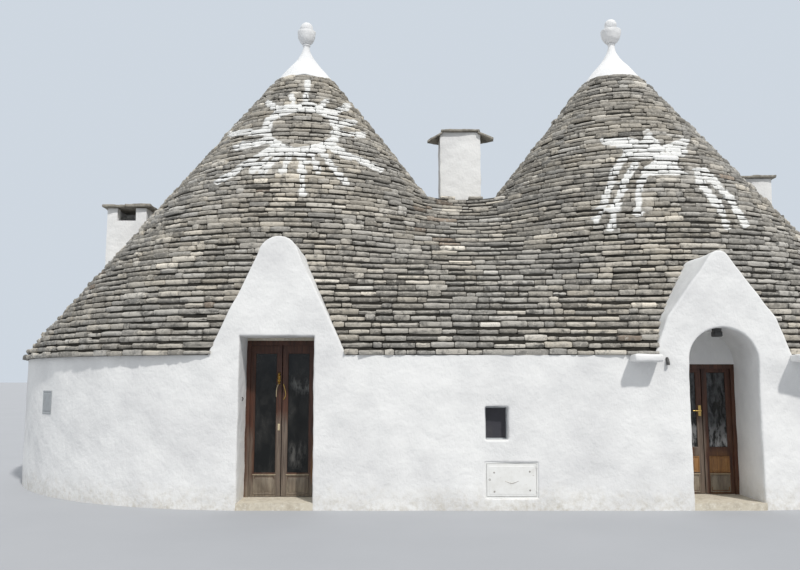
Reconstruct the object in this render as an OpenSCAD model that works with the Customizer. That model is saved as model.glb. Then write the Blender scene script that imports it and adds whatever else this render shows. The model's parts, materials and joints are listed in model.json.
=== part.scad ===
// Trullo house: two dry-stone cones with a filled saddle between them, over thick
// whitewashed walls with a straight front and round ends.
// The origin is on the ground midway between the two cone axes, +X runs along the
// front to the right, +Y runs into the building and +Z is up. Millimetres.

/* [Plan] */
// Half the distance between the two cone axes
axis_half = 2930; // [2850:10:3000]
// Radius of the round ends, which is also how far the straight front stands from the axes
plan_r = 4500; // [4450:10:4550]
// Thickness of the masonry walls
wall_t = 1000; // [960:10:1040]
// Height of the walls up to the first roof course
wall_h = 1900; // [1880:5:1930]
// Half width of the recess between the two round rooms
bay_half = 1000; // [900:10:1100]
// Thickness of the stone floor
floor_t = 80; // [60:5:90]

/* [Cones] */
// Number of stone courses from the eaves to the cap
course_n = 58; // [57:1:60]
// How far the lowest course stands out past the wall
eaves_out = 100; // [60:5:140]
// Height of one stone course
course_h = 91; // [89:1:93]
// Radius of the roof at the cap's foot
cap_foot_r = 545; // [500:5:580]
// Width of the layer of roof courses, measured level
course_t = 220; // [200:5:240]
// Height at which the layer of courses closes over the vault
vault_top_z = 6700; // [6650:10:6750]
// Rise of the room's cone for each unit that it narrows
vault_pitch = 1.28; // [1.2:0.01:1.3]
// Radius of the closing stone inside each vault
closing_r = 260; // [200:10:300]

/* [Saddle] */
// Half the gap that is left between the cones at the height of the saddle
saddle_gap = 596; // [560:4:640]
// Half depth of the saddle at its top
saddle_half = 380; // [340:10:420]
// How far the middle of the lowest valley course lies behind the lowest cone course
valley_set_in = 70; // [50:5:90]
// How full the valley stays above the eaves, as the power of its falling line
valley_fullness = 1.3; // [1.2:0.05:1.4]
// Thickness at which a valley course ends against the cone
valley_tip = 30; // [25:1:40]

/* [Caps and pinnacles] */
// Height of the left cap
left_cap_h = 760; // [720:5:800]
// Height of the right cap
right_cap_h = 780; // [740:5:820]
// Radius of the neck of the caps
cap_neck_r = 60; // [50:1:70]
// Height of the collar under a pinnacle
collar_h = 40; // [30:1:50]
// Rim radius of the left bowl
left_bowl_r = 171; // [160:1:180]
// Rim radius of the right bowl
right_bowl_r = 193; // [180:1:205]
// Height of the bowls
bowl_h = 262; // [250:1:275]
// Radius of the left ball
left_ball_r = 123; // [115:1:130]
// Radius of the right ball
right_ball_r = 117; // [110:1:125]
// How far the left ball's centre stands above the rim of its bowl
left_ball_rise = 60; // [50:1:70]
// How far the right ball's centre stands above the rim of its bowl
right_ball_rise = 110; // [105:1:115]

/* [Left doorway] */
// Distance from the left cone's axis to the middle of the left doorway
left_door_shift = 250; // [210:10:290]
// Width of the left doorway
left_door_w = 960; // [930:10:990]
// Height of the left doorway above the ground
left_door_z = 2150; // [2110:5:2190]
// Depth of the reveal in front of the left door frame
left_reveal = 500; // [460:10:520]

/* [Right doorway] */
// Width of the right doorway and of its arched niche
right_door_w = 900; // [880:10:930]
// Height of the niche's springing above the ground
arch_spring_z = 1810; // [1800:5:1830]
// Height of the right doorway behind the niche
right_door_z = 1800; // [1780:5:1800]
// Depth of the arched niche in front of the right door frame
right_reveal = 750; // [720:10:760]

/* [Door joinery] */
// Width of a frame jamb
jamb_w = 50; // [45:1:55]
// Depth of a door frame
frame_d = 70; // [66:1:76]
// Thickness of a door leaf
leaf_t = 42; // [38:1:44]
// Clearance between a leaf and its frame or threshold
leaf_gap = 5; // [5:0.5:7]
// Clearance between the two leaves of a door
meeting_gap = 12; // [11:0.5:14]
// Width that the frame's stop covers of a leaf's edge
stop_lap = 12; // [8:1:14]
// Width of a leaf's stiles
stile_w = 62; // [56:1:68]
// Height of the left leaves' top rail
left_top_rail_h = 105; // [95:5:115]
// Height of the right leaves' top rail
right_top_rail_h = 45; // [40:5:55]
// Height of a leaf's bottom rail
bottom_rail_h = 90; // [80:2:100]
// Height of the rail between the left leaves' panel and pane
left_lock_rail_h = 70; // [60:2:80]
// Height of the rail between the right leaves' upper panel and pane
right_lock_rail_h = 105; // [95:5:115]
// Height of the rail between the right leaves' two panels
mid_rail_h = 32; // [28:1:38]
// Height of that rail above the foot of a leaf
mid_rail_z = 245; // [235:5:260]
// Height of the left leaves' bottom rail, panel and lock rail together
left_kick_h = 290; // [270:5:310]
// Height of the right leaves' panels and rails below the pane together
right_kick_h = 600; // [570:5:620]
// Thickness of the panels in the leaves
panel_t = 18; // [14:1:22]
// Thickness of the panes in the leaves
pane_t = 6; // [5:0.5:8]
// Height of the right door's handle above the ground
handle_z = 1180; // [1150:5:1210]

/* [Thresholds] */
// Thickness of the threshold slabs
sill_t = 86; // [80:1:95]
// How far the thresholds reach into the rooms
sill_in = 90; // [80:5:110]

/* [Hinges] */
// Radius of the door hinges' knuckles
knuckle_r = 6.5; // [6:0.1:7]
// Height of one knuckle of a door hinge
knuckle_h = 36; // [30:1:45]
// Clearance between the two knuckles of a hinge
knuckle_gap = 0.4; // [0.3:0.05:0.6]
// Distance of a door's hinge line inside the frame's inner face
hinge_out = 8; // [7.5:0.1:9]
// Thickness of the hinges' plates
plate_t = 3; // [2.5:0.1:3.5]
// Width of the hinges' plates
plate_w = 34; // [28:1:38]
// Height of the lowest hinge above the foot of a leaf
hinge_foot = 220; // [180:5:260]
// Radius of the hatch hinges' knuckles
hatch_knuckle_r = 5.5; // [5:0.1:5.7]
// Distance of the hatch's hinge line in front of the wall's face
hatch_hinge_out = 6; // [6:0.1:7]
// Height of one knuckle of a hatch hinge
hatch_knuckle_h = 18; // [15:1:22]
// Height of the hatch's hinges above and below its edges
hatch_hinge_in = 70; // [60:5:90]

/* [Gabled fronts] */
// Depth of the gabled blocks over the doorways
gable_d = 1000; // [980:10:1040]
// Half width of the left gable at the wall's top
left_gable_half = 860; // [820:10:880]
// Half width of the left gable where its round top begins
left_gable_top_half = 250; // [230:5:270]
// Height of the left gable above the ground
left_gable_z = 3410; // [3360:10:3450]
// Half width of the right gable at the wall's top
right_gable_half = 850; // [830:10:870]
// Half width of the right gable at its shoulder
right_gable_shoulder = 670; // [650:5:690]
// Height of the right gable's shoulder above the ground
right_shoulder_z = 2380; // [2350:5:2410]
// Height of the right gable above the ground
right_gable_z = 3220; // [3180:10:3260]
// Radius of the right gable's apex
right_apex_r = 130; // [110:5:150]
// Height of the stone lintel over the left door
lintel_h = 45; // [40:5:60]

/* [Eaves ledges] */
// Length of each ledge beside the right gable
ledge_l = 330; // [300:5:360]
// How far the ledges stand out from the wall
ledge_out = 260; // [230:5:280]
// Thickness of the ledges
ledge_t = 90; // [80:5:100]

/* [Window] */
// Middle of the window, to the right of the house's middle
window_x = 75; // [50:5:100]
// Height of the window's sill above the ground
window_z = 840; // [820:5:860]
// Width of the window opening
window_w = 310; // [300:5:330]
// Height of the window opening
window_h = 430; // [420:5:440]
// Depth of the reveal in front of the window frame
window_reveal = 120; // [110:5:130]
// Depth of the window frame
window_frame_d = 50; // [40:1:60]
// Width of the window frame's bars
window_bar = 28; // [24:1:32]
// How far the inner splay widens on each side
window_splay = 190; // [160:5:210]
// How far the block of masonry around the window and the hatch reaches past them
opening_margin = 180; // [150:10:220]
// Height of the bed joint between the hatch's masonry and the window's
bay_joint_z = 700; // [660:10:740]

/* [Meter hatch] */
// Left edge of the hatch, from the house's middle
hatch_x = -80; // [-90:5:-60]
// Height of the hatch's lower edge above the ground
hatch_z = 150; // [140:5:170]
// Width of the hatch
hatch_w = 650; // [630:5:660]
// Height of the hatch
hatch_h = 430; // [420:5:440]
// Depth of the recess behind the hatch
hatch_d = 200; // [180:5:220]
// Width of the hatch's steel frame
hatch_bar = 30; // [26:1:34]
// Depth of the hatch's steel frame
hatch_frame_d = 30; // [26:1:34]
// Thickness of the hatch door
hatch_t = 12; // [10:1:14]

/* [Meter cover] */
// Direction of the small cover on the left end, from the left axis, in degrees from +X
cover_angle = 225; // [222:1:228]
// Width of the cover
cover_w = 300; // [280:5:320]
// Height of the cover
cover_h = 330; // [310:5:350]
// Height of the cover's lower edge above the ground
cover_z = 1110; // [1080:5:1140]
// Thickness of the cover
cover_t = 24; // [20:1:30]
// How far the cover stands out from the wall at its middle
cover_out = 10; // [8:1:14]

/* [Chimneys] */
// Wall thickness of the chimney shafts
flue_wall = 150; // [140:5:160]
// Width of the middle chimney
mid_w = 750; // [720:10:780]
// Depth of the middle chimney
mid_d = 650; // [620:10:680]
// How far the middle chimney's centre lies behind the axes
mid_y = 200; // [180:10:220]
// Height of the middle chimney's shaft above the ground
mid_z = 6200; // [6150:10:6250]
// How far the bed of the middle chimney lies below the saddle
mid_bed_drop = 600; // [560:10:640]
// How far the middle chimney's cover slabs stand out at the sides
mid_wing = 240; // [220:5:260]
// Fall of the middle chimney's side slabs, in degrees
mid_fall = 32; // [28:1:36]
// Thickness of the middle chimney's slabs over the shaft
mid_slab_t = 60; // [50:5:70]
// Thickness of the middle chimney's slabs at the tips
mid_tip_t = 40; // [30:5:50]
// Width and depth of the right chimney
right_w = 700; // [660:10:720]
// Middle of the right chimney, from the right axis
right_chimney_x = 3040; // [3000:10:3080]
// How far the right chimney's centre lies behind the axes
right_chimney_y = 1325; // [1300:5:1350]
// Height of the right chimney's shaft above the ground
right_z = 5600; // [5550:10:5650]
// Width and depth of the left chimney
left_w = 740; // [700:10:760]
// Middle of the left chimney, from the left axis
left_chimney_x = -3430; // [-3460:10:-3400]
// How far the left chimney's centre lies behind the axes
left_chimney_y = 700; // [680:10:720]
// Height of the left chimney's shaft above the ground
left_z = 4850; // [4800:10:4900]
// Height of the bed that the left chimney stands on
left_bed_z = 2600; // [2550:10:2650]
// Height of the bed that the right chimney stands on
right_bed_z = 2950; // [2900:10:3000]
// Thickness of the cover slabs
slab_t = 80; // [70:5:90]
// How far the cover slabs of the side chimneys stand out
slab_out = 90; // [70:5:110]
// Width of the smoke outlets
outlet_w = 350; // [320:10:380]
// Height of the smoke outlets
outlet_h = 240; // [220:10:260]

/* [Hidden] */
$fn = 360;
fit = 0.5;
past = 400;
inner_r = plan_r - wall_t;
edge_r = plan_r + eaves_out;
front_y = -plan_r;
inner_y = -inner_r;
cap_foot_z = wall_h + course_n * course_h;
saddle_z = cap_foot_z - (axis_half - saddle_gap - cap_foot_r) * (cap_foot_z - wall_h)
    / (edge_r - cap_foot_r);
mid_bed_z = saddle_z - mid_bed_drop;
saddle_n = floor((saddle_z - wall_h) / course_h);
saddle_bed_n = ceil((mid_bed_z - wall_h) / course_h);
bay_from_x = min(hatch_x, window_x - window_w / 2 - window_splay) - opening_margin;
bay_to_x = max(hatch_x + hatch_w, window_x + window_w / 2 + window_splay) + opening_margin;
closing_z = wall_h + (inner_r - closing_r) * vault_pitch;
top_z = cap_foot_z + past;
left_x = -axis_half + left_door_shift;
right_x = axis_half;
left_frame_y = front_y + left_reveal;
right_frame_y = front_y + right_reveal;
gable_y = front_y + gable_d;
leaf_lap_y = frame_d - leaf_t;
handle_plate_w = 36;
handle_plate_h = 140;
handle_plate_t = 6;
handle_post = 45;
handle_r = 9;
handle_l = 110;
white = "#f4f2ec";
grey_stone = "#9a978e";
brown_wood = "#6b4326";

// Radius of the roof at a height, along its straight flank
function roof_r(z) = cap_foot_r + (cap_foot_z - z) * (edge_r - cap_foot_r) / (cap_foot_z - wall_h);
// Radius of the room's cone at a height
function room_r(z) = inner_r - (z - wall_h) / vault_pitch;
// Foot height of a course
function course_z(k) = wall_h + k * course_h;
// Half depth of the saddle's outline in the middle of the house, at a height
function waist(z) = edge_r - valley_set_in - (edge_r - valley_set_in - saddle_half)
    * pow((z - wall_h) / (saddle_z - wall_h), valley_fullness);
// Radius of the hollow arc that joins both cones at a height and passes through the waist
function hollow_r(z) = (pow(axis_half, 2) + pow(waist(z), 2) - pow(roof_r(z), 2))
    / (2 * (roof_r(z) - waist(z)));
// Distance from the middle at which a valley course is as thin as its tip
function tip_x(z) = axis_half * hollow_r(z) / (roof_r(z) + hollow_r(z))
    - sqrt(2 * valley_tip / (1 / roof_r(z) + 1 / hollow_r(z)));
// Depth of the hollow arc at a height and a distance from the middle
function hollow_y(z, x) = sqrt(pow(hollow_r(z), 2) - pow(x, 2)) - hollow_r(z) - waist(z);
// Point on a cubic curve through four control points
function curve(a, b, c, d, t) = pow(1 - t, 3) * a + 3 * pow(1 - t, 2) * t * b
    + 3 * (1 - t) * t * t * c + pow(t, 3) * d;

// Half of space on one side of the middle of the house
module half_space(side) {
    reach = axis_half + edge_r + past;
    translate([side > 0 ? 0 : -reach, -reach, -past])
        cube([reach, 2 * reach, top_z + 2 * past]);
}

// Clear way of the left doorway, from the front to the room
module left_passage() {
    translate([left_x - left_door_w / 2, front_y - past, -past])
        cube([left_door_w, wall_t + 2 * past, left_door_z + past]);
}

// Arched outline carried in from a start plane, over a floor at a given height
module arch_space(from_y, depth, floor_z, slack) {
    half = right_door_w / 2 - slack;
    translate([right_x - half, from_y, floor_z])
        cube([2 * half, depth, arch_spring_z - floor_z]);
    intersection() {
        translate([right_x, from_y, arch_spring_z])
            rotate([-90, 0, 0]) cylinder(r = half, h = depth);
        translate([right_x - right_door_w, from_y, floor_z])
            cube([2 * right_door_w, depth, top_z]);
    }
}

// Arched niche of the right doorway and the way through to the room
module right_passage() {
    arch_space(front_y - past, right_reveal + past, -past, 0);
    translate([right_x - right_door_w / 2, front_y, -past])
        cube([right_door_w, wall_t + past, right_door_z + past]);
    arch_space(right_frame_y - past, wall_t - right_reveal + 2 * past, right_door_z, 0);
}

// Front view of the left gable: steep sides and a blunt round top
module left_gable_outline() {
    top_r = left_gable_top_half;
    polygon(concat(
        [[-left_gable_half, wall_h], [left_gable_half, wall_h]],
        [for (a = [10 : 20 : 170])
            [top_r * cos(a), left_gable_z - top_r * (1 - sin(a))]]));
}

// Front view of the right gable: shoulders, straight slopes and a small round apex
module right_gable_outline() {
    slope = atan((right_gable_z - right_shoulder_z) / right_gable_shoulder);
    centre_z = right_gable_z - right_apex_r;
    polygon(concat(
        [[-right_gable_half, wall_h], [right_gable_half, wall_h],
         [right_gable_shoulder, right_shoulder_z]],
        [for (a = [90 - slope : slope / 4 : 90 + slope])
            [right_apex_r * cos(a), centre_z + right_apex_r * sin(a)]],
        [[-right_gable_shoulder, right_shoulder_z]]));
}

// Space that the left gabled block takes out of the roof
module left_gable_space() {
    translate([left_x, gable_y, 0])
        rotate([90, 0, 0])
            linear_extrude(gable_d + past) left_gable_outline();
}

// Space that the right gabled block takes out of the roof
module right_gable_space() {
    translate([right_x, gable_y, 0])
        rotate([90, 0, 0])
            linear_extrude(gable_d + past) right_gable_outline();
}

// Square space that a chimney takes out of the roof
module shaft_space(x, y, w, d, bed) {
    translate([x - w / 2, y - d / 2, bed]) cube([w, d, top_z]);
}

module left_shaft_space() {
    shaft_space(-axis_half + left_chimney_x, left_chimney_y, left_w, left_w, left_bed_z);
}

module mid_shaft_space() {
    shaft_space(0, mid_y, mid_w, mid_d, mid_bed_z);
}

module right_shaft_space() {
    shaft_space(axis_half + right_chimney_x, right_chimney_y, right_w, right_w, right_bed_z);
}

module floor_slab() {
    color("#b8b0a0")
        difference() {
            union() {
                for (side = [-1, 1])
                    intersection() {
                        translate([side * axis_half, 0, 0])
                            cylinder(r = inner_r - fit, h = floor_t);
                        half_space(side);
                    }
                translate([-bay_half + fit, inner_y + fit, 0])
                    cube([2 * (bay_half - fit), 2 * (inner_r - fit), floor_t]);
            }
            translate([0, 0, -past]) threshold_space();
        }
}

// Floor area of both doorways, as far in as the thresholds reach
module threshold_space() {
    translate([left_x - left_door_w / 2, front_y, 0])
        cube([left_door_w, wall_t + sill_in, top_z]);
    translate([right_x - right_door_w / 2, front_y, 0])
        cube([right_door_w, wall_t + sill_in, top_z]);
}

module thresholds() {
    color("#cfc8b8")
        for (door = [[left_x, left_door_w], [right_x, right_door_w]])
            translate([door[0] - door[1] / 2, front_y, 0])
                cube([door[1], wall_t + sill_in, sill_t]);
}

// Quarter of the round wall about one axis, from a start angle
module round_wall(side, start) {
    color(white)
        difference() {
            translate([side * axis_half, 0, 0])
                rotate([0, 0, start])
                    rotate_extrude(angle = 90)
                        translate([inner_r, 0]) square([wall_t, wall_h]);
            left_passage();
            right_passage();
        }
}

module west_front_wall() {
    difference() {
        round_wall(-1, 180);
        cover_recess();
    }
}

module west_back_wall() { round_wall(-1, 90); }
module east_front_wall() { round_wall(1, 270); }
module east_back_wall() { round_wall(1, 0); }

// Straight wall beside a round room: flat outside, hollowed by the room's circle inside
module straight_wall(side, from_x, to_x, face) {
    color(white)
        difference() {
            translate([min(from_x, to_x), face > 0 ? 0 : -plan_r, 0])
                cube([abs(to_x - from_x), plan_r, wall_h]);
            translate([side * axis_half, 0, -past])
                cylinder(r = inner_r, h = wall_h + 2 * past);
            translate([-axis_half, -pier_y(), -past])
                cube([2 * axis_half, 2 * pier_y(), wall_h + 2 * past]);
        }
}

// Half depth of the rooms where the recess between them begins
function pier_y() = sqrt(pow(inner_r, 2) - pow(axis_half - bay_half, 2));

module front_left_wall() {
    straight_wall(-1, left_x + left_door_w / 2, -bay_half, -1);
}

module front_right_wall() {
    difference() {
        straight_wall(1, bay_half, right_x, -1);
        right_passage();
    }
}

module back_left_wall() { straight_wall(-1, -axis_half, -bay_half, 1); }
module back_right_wall() { straight_wall(1, bay_half, axis_half, 1); }

module back_mid_wall() {
    color(white)
        translate([-bay_half, inner_r, 0]) cube([2 * bay_half, wall_t, wall_h]);
}

// Plain masonry on both sides of the window and the hatch
module front_mid_wall() {
    color(white)
        difference() {
            translate([-bay_half, front_y, 0]) cube([2 * bay_half, wall_t, wall_h]);
            translate([bay_from_x, front_y - past, -past])
                cube([bay_to_x - bay_from_x, wall_t + 2 * past, wall_h + 2 * past]);
        }
}

// Block of masonry between two heights of the window's bay
module bay_masonry(from_z, to_z) {
    translate([bay_from_x, front_y, from_z])
        cube([bay_to_x - bay_from_x, wall_t, to_z - from_z]);
}

module hatch_masonry() {
    color(white)
        difference() {
            bay_masonry(0, bay_joint_z);
            hatch_space();
        }
}

module window_masonry() {
    color(white)
        difference() {
            bay_masonry(bay_joint_z, wall_h);
            window_space();
        }
}

// Window opening: a straight reveal outside and a splay that widens to the room
module window_space() {
    seat = window_reveal + window_frame_d;
    translate([window_x - window_w / 2, front_y - past, window_z])
        cube([window_w, seat + past, window_h]);
    translate([window_x, front_y + seat, window_z])
        linear_extrude(window_h)
            polygon([[-window_w / 2, -fit], [window_w / 2, -fit],
                [window_w / 2 + window_splay, wall_t - seat + fit],
                [-window_w / 2 - window_splay, wall_t - seat + fit]]);
}

module hatch_space() {
    translate([hatch_x, front_y - past, hatch_z]) cube([hatch_w, hatch_d + past, hatch_h]);
}

// Shallow seat of the small cover in the round wall
module cover_recess() {
    translate([-axis_half, 0, 0])
        rotate([0, 0, cover_angle])
            translate([plan_r + cover_out - cover_t, -cover_w / 2, cover_z])
                cube([past, cover_w, cover_h]);
}

module left_gable() {
    color(white)
        difference() {
            translate([left_x, gable_y, 0])
                rotate([90, 0, 0])
                    linear_extrude(gable_d) left_gable_outline();
            left_passage();
        }
}

module right_gable() {
    color(white)
        difference() {
            translate([right_x, gable_y, 0])
                rotate([90, 0, 0])
                    linear_extrude(gable_d) right_gable_outline();
            right_passage();
        }
}

module left_lintel() {
    color("#d8d2c4")
        translate([left_x - left_door_w / 2, left_frame_y, left_door_z - lintel_h])
            cube([left_door_w, gable_y - left_frame_y, lintel_h]);
}

// Masonry behind the niche's arch, over the right door
module right_tympanum() {
    color(white)
        arch_space(right_frame_y, gable_y - right_frame_y, right_door_z, fit);
}

module eaves_ledges() {
    color(white)
        difference() {
            for (side = [-1, 1])
                translate([right_x + side * (right_gable_half + ledge_l / 2) - ledge_l / 2,
                    front_y - ledge_out, wall_h - ledge_t])
                    cube([ledge_l, ledge_out + (side > 0 ? plan_r / 2 : 0), ledge_t]);
            translate([axis_half, 0, -past]) cylinder(r = plan_r + fit, h = top_z);
        }
}

// Smooth masonry cone over one room, up to the middle of the house
module vault(side) {
    color("#c9c3b5")
        difference() {
            intersection() {
                translate([side * axis_half, 0, 0])
                    rotate_extrude()
                        polygon([[inner_r, wall_h],
                            [roof_r(wall_h) - course_t - fit, wall_h],
                            [roof_r(vault_top_z) - course_t - fit, vault_top_z - fit],
                            [0, vault_top_z - fit], [0, closing_z], [closing_r, closing_z]]);
                half_space(side);
            }
            left_gable_space();
            right_gable_space();
            left_passage();
            left_shaft_space();
            right_shaft_space();
            mid_shaft_space();
        }
}

module left_vault() { vault(-1); }
module right_vault() { vault(1); }

// Stepped courses of one cone, closed over the vault, up to the middle of the house
module cone_courses(side) {
    steps = [for (k = [0 : course_n - 1], up = [0, 1])
        [roof_r(course_z(k)), course_z(k + up)]];
    color(grey_stone)
        difference() {
            intersection() {
                translate([side * axis_half, 0, 0])
                    rotate_extrude()
                        polygon(concat(steps, [[0, cap_foot_z], [0, vault_top_z],
                            [roof_r(vault_top_z) - course_t, vault_top_z],
                            [roof_r(wall_h) - course_t, wall_h]]));
                half_space(side);
            }
            left_gable_space();
            right_gable_space();
            left_shaft_space();
            right_shaft_space();
            mid_shaft_space();
        }
}

module left_roof() { cone_courses(-1); }
module right_roof() { cone_courses(1); }

// One valley course: the corner between both cones, rounded by a hollow arc
module valley_course(z) {
    half = tip_x(z);
    difference() {
        polygon(concat(
            [for (i = [0 : 12]) let(x = half * (i / 6 - 1))
                [x, hollow_y(z, x)]],
            [[half, 0], [-half, 0]]));
        for (side = [-1, 1])
            translate([side * axis_half, 0]) circle(r = roof_r(z) + fit);
    }
}

// Stacked valley courses on the front side, from one course up to another
module valley(from_k, to_k) {
    for (k = [from_k : to_k])
        translate([0, 0, course_z(k)])
            linear_extrude(course_h) valley_course(course_z(k));
}

module front_valley() {
    color(grey_stone)
        difference() {
            valley(0, saddle_bed_n - 1);
            left_gable_space();
            right_gable_space();
            mid_shaft_space();
        }
}

module back_valley() {
    color(grey_stone)
        difference() {
            mirror([0, 1, 0]) valley(0, saddle_bed_n - 1);
            mid_shaft_space();
        }
}

// Uppermost valley courses of both sides, around the foot of the middle chimney
module saddle() {
    color(grey_stone)
        difference() {
            union() {
                valley(saddle_bed_n, saddle_n - 1);
                mirror([0, 1, 0]) valley(saddle_bed_n, saddle_n - 1);
            }
            mid_shaft_space();
        }
}

// Plastered cap with a hollow flare and a collar, on top of the courses
module cap(side, h) {
    foot = [cap_foot_r, 0];
    neck = [cap_neck_r, h];
    low = [cap_foot_r * 0.66, h * 0.40];
    high = [cap_neck_r * 1.5, h * 0.60];
    color(white)
        translate([side * axis_half, 0, cap_foot_z])
            rotate_extrude()
                polygon(concat([[0, 0]],
                    [for (i = [0 : 12]) curve(foot, low, high, neck, i / 12)],
                    [[cap_neck_r, h + collar_h], [0, h + collar_h]]));
}

module left_cap() { cap(-1, left_cap_h); }
module right_cap() { cap(1, right_cap_h); }

// Carved pinnacle: a bowl on a short stem with a ball in it
module pinnacle(side, h, rim_r, ball_r, rise) {
    foot = [cap_neck_r, 0];
    color(white)
        translate([side * axis_half, 0, cap_foot_z + h + collar_h])
            union() {
                rotate_extrude()
                    polygon(concat([[0, 0]],
                        [for (i = [0 : 8]) curve(foot, [rim_r * 0.75, bowl_h * 0.1],
                            [rim_r, bowl_h * 0.5], [rim_r, bowl_h], i / 8)],
                        [[0, bowl_h]]));
                translate([0, 0, bowl_h + rise]) sphere(r = ball_r);
            }
}

module left_pinnacle() {
    pinnacle(-1, left_cap_h, left_bowl_r, left_ball_r, left_ball_rise);
}

module right_pinnacle() {
    pinnacle(1, right_cap_h, right_bowl_r, right_ball_r, right_ball_rise);
}

// Hollow chimney shaft with a smoke outlet under its cover, towards the front or the back
module shaft(x, y, w, d, bed, top, outlet_side) {
    color(white)
        difference() {
            translate([x - w / 2, y - d / 2, bed]) cube([w, d, top - bed]);
            translate([x - w / 2 + flue_wall, y - d / 2 + flue_wall, bed - past])
                cube([w - 2 * flue_wall, d - 2 * flue_wall, top_z]);
            translate([x - outlet_w / 2, outlet_side > 0 ? y : y - d / 2 - past,
                top - outlet_h])
                cube([outlet_w, d / 2 + past, outlet_h + past]);
        }
}

module left_chimney() {
    shaft(-axis_half + left_chimney_x, left_chimney_y, left_w, left_w, left_bed_z, left_z, -1);
}

module mid_chimney() { shaft(0, mid_y, mid_w, mid_d, mid_bed_z, mid_z, 1); }

module right_chimney() {
    shaft(axis_half + right_chimney_x, right_chimney_y, right_w, right_w, right_bed_z,
        right_z, 1);
}

// Flat stone slab over a square shaft
module cover_slab(x, y, w, top) {
    color("#a39e92")
        translate([x - w / 2 - slab_out, y - w / 2 - slab_out, top])
            cube([w + 2 * slab_out, w + 2 * slab_out, slab_t]);
}

module left_chimney_slab() {
    cover_slab(-axis_half + left_chimney_x, left_chimney_y, left_w, left_z);
}

module right_chimney_slab() {
    cover_slab(axis_half + right_chimney_x, right_chimney_y, right_w, right_z);
}

// Level middle slab of the middle chimney with a falling wing on either side
module mid_chimney_slabs() {
    tip_x = mid_w / 2 + mid_wing;
    tip_z = mid_slab_t - mid_wing * tan(mid_fall);
    color("#a39e92")
        translate([0, mid_y + mid_d / 2 + slab_out, mid_z])
            rotate([90, 0, 0])
                linear_extrude(mid_d + 2 * slab_out)
                    polygon([[-mid_w / 2, 0], [mid_w / 2, 0],
                        [tip_x, tip_z - mid_tip_t], [tip_x, tip_z],
                        [mid_w / 2, mid_slab_t], [-mid_w / 2, mid_slab_t],
                        [-tip_x, tip_z], [-tip_x, tip_z - mid_tip_t]]);
}

// One knuckle about an upright hinge line, with a plate that reaches it from one side
module knuckle(r, h, side, plate_from) {
    cylinder(r = r, h = h);
    translate([side > 0 ? 0 : -plate_w, min(plate_from, plate_from + plate_t), 0])
        cube([plate_w, plate_t, h]);
}

// Hinge lines' distance from the middle of a doorway
function hinge_x(w) = w / 2 - jamb_w - leaf_gap / 2;
// Foot heights of the hinges on a leaf of a given height
function hinge_feet(h) = [hinge_foot, h / 2, h - hinge_foot];

// Knuckles of all hinges of a doorway: the frame's lower ones or a leaf's upper ones
module door_knuckles(x, y, w, h, sides, plate_side, rise) {
    for (side = sides, foot = hinge_feet(h))
        translate([x + side * hinge_x(w), y + frame_d + hinge_out,
            sill_t + leaf_gap + foot + rise])
            knuckle(knuckle_r, knuckle_h, side * plate_side, -hinge_out);
}

// Door frame: two jambs and a head, with a stop along the outside of the leaves
module door_frame(x, y, w, top) {
    inner = w - 2 * jamb_w;
    color(brown_wood) {
        translate([x - w / 2, y, sill_t])
            difference() {
                cube([w, frame_d, top - sill_t]);
                translate([jamb_w + stop_lap, -past, -past])
                    cube([inner - 2 * stop_lap, top_z,
                        top - sill_t - jamb_w - stop_lap + past]);
                translate([jamb_w, leaf_lap_y - leaf_gap, -past])
                    cube([inner, top_z, top - sill_t - jamb_w + past]);
            }
        door_knuckles(x, y, w, leaf_h(top), [-1, 1], 1, 0);
    }
}

// Width of one leaf in a doorway
function leaf_w(w) = (w - 2 * jamb_w - 2 * leaf_gap - meeting_gap) / 2;
// Height of a leaf in a doorway
function leaf_h(top) = top - sill_t - jamb_w - 2 * leaf_gap;

// Glazed leaf with sunk panels at given heights and the upper knuckles of its hinges
module leaf(x, y, w, top, side, kick, rail, fields) {
    lw = leaf_w(w);
    lh = leaf_h(top);
    groove = (leaf_t - panel_t) / 2;
    color(brown_wood) {
        translate([x + side * (meeting_gap / 2 + lw / 2) - lw / 2, y + leaf_lap_y,
            sill_t + leaf_gap])
            difference() {
                cube([lw, leaf_t, lh]);
                translate([stile_w, -past, kick])
                    cube([lw - 2 * stile_w, top_z, lh - kick - rail]);
                for (deep = [-past, leaf_t - groove], field = fields)
                    translate([stile_w, deep, field[0]])
                        cube([lw - 2 * stile_w, past + groove, field[1] - field[0]]);
            }
        door_knuckles(x, y, w, lh, [side], -1, knuckle_h + knuckle_gap);
    }
}

// Pane of glass that fills a leaf's glazed field
module pane(x, y, w, top, side, kick, rail) {
    lw = leaf_w(w);
    color("#26303a", 0.6)
        translate([x + side * (meeting_gap / 2 + lw / 2) - lw / 2 + stile_w,
            y + leaf_lap_y + (leaf_t - pane_t) / 2, sill_t + leaf_gap + kick])
            cube([lw - 2 * stile_w, pane_t, leaf_h(top) - kick - rail]);
}

left_head_z = left_door_z - lintel_h;
left_fields = [[bottom_rail_h, left_kick_h - left_lock_rail_h]];
right_fields = [[bottom_rail_h, mid_rail_z],
    [mid_rail_z + mid_rail_h, right_kick_h - right_lock_rail_h]];

// Leaf of the left door
module left_leaf(side) {
    leaf(left_x, left_frame_y, left_door_w, left_head_z, side, left_kick_h,
        left_top_rail_h, left_fields);
}

// Pane in a leaf of the left door
module left_pane(side) {
    pane(left_x, left_frame_y, left_door_w, left_head_z, side, left_kick_h,
        left_top_rail_h);
}

// Leaf of the right door
module right_leaf(side) {
    leaf(right_x, right_frame_y, right_door_w, right_door_z, side, right_kick_h,
        right_top_rail_h, right_fields);
}

// Pane in a leaf of the right door
module right_pane(side) {
    pane(right_x, right_frame_y, right_door_w, right_door_z, side, right_kick_h,
        right_top_rail_h);
}

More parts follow.
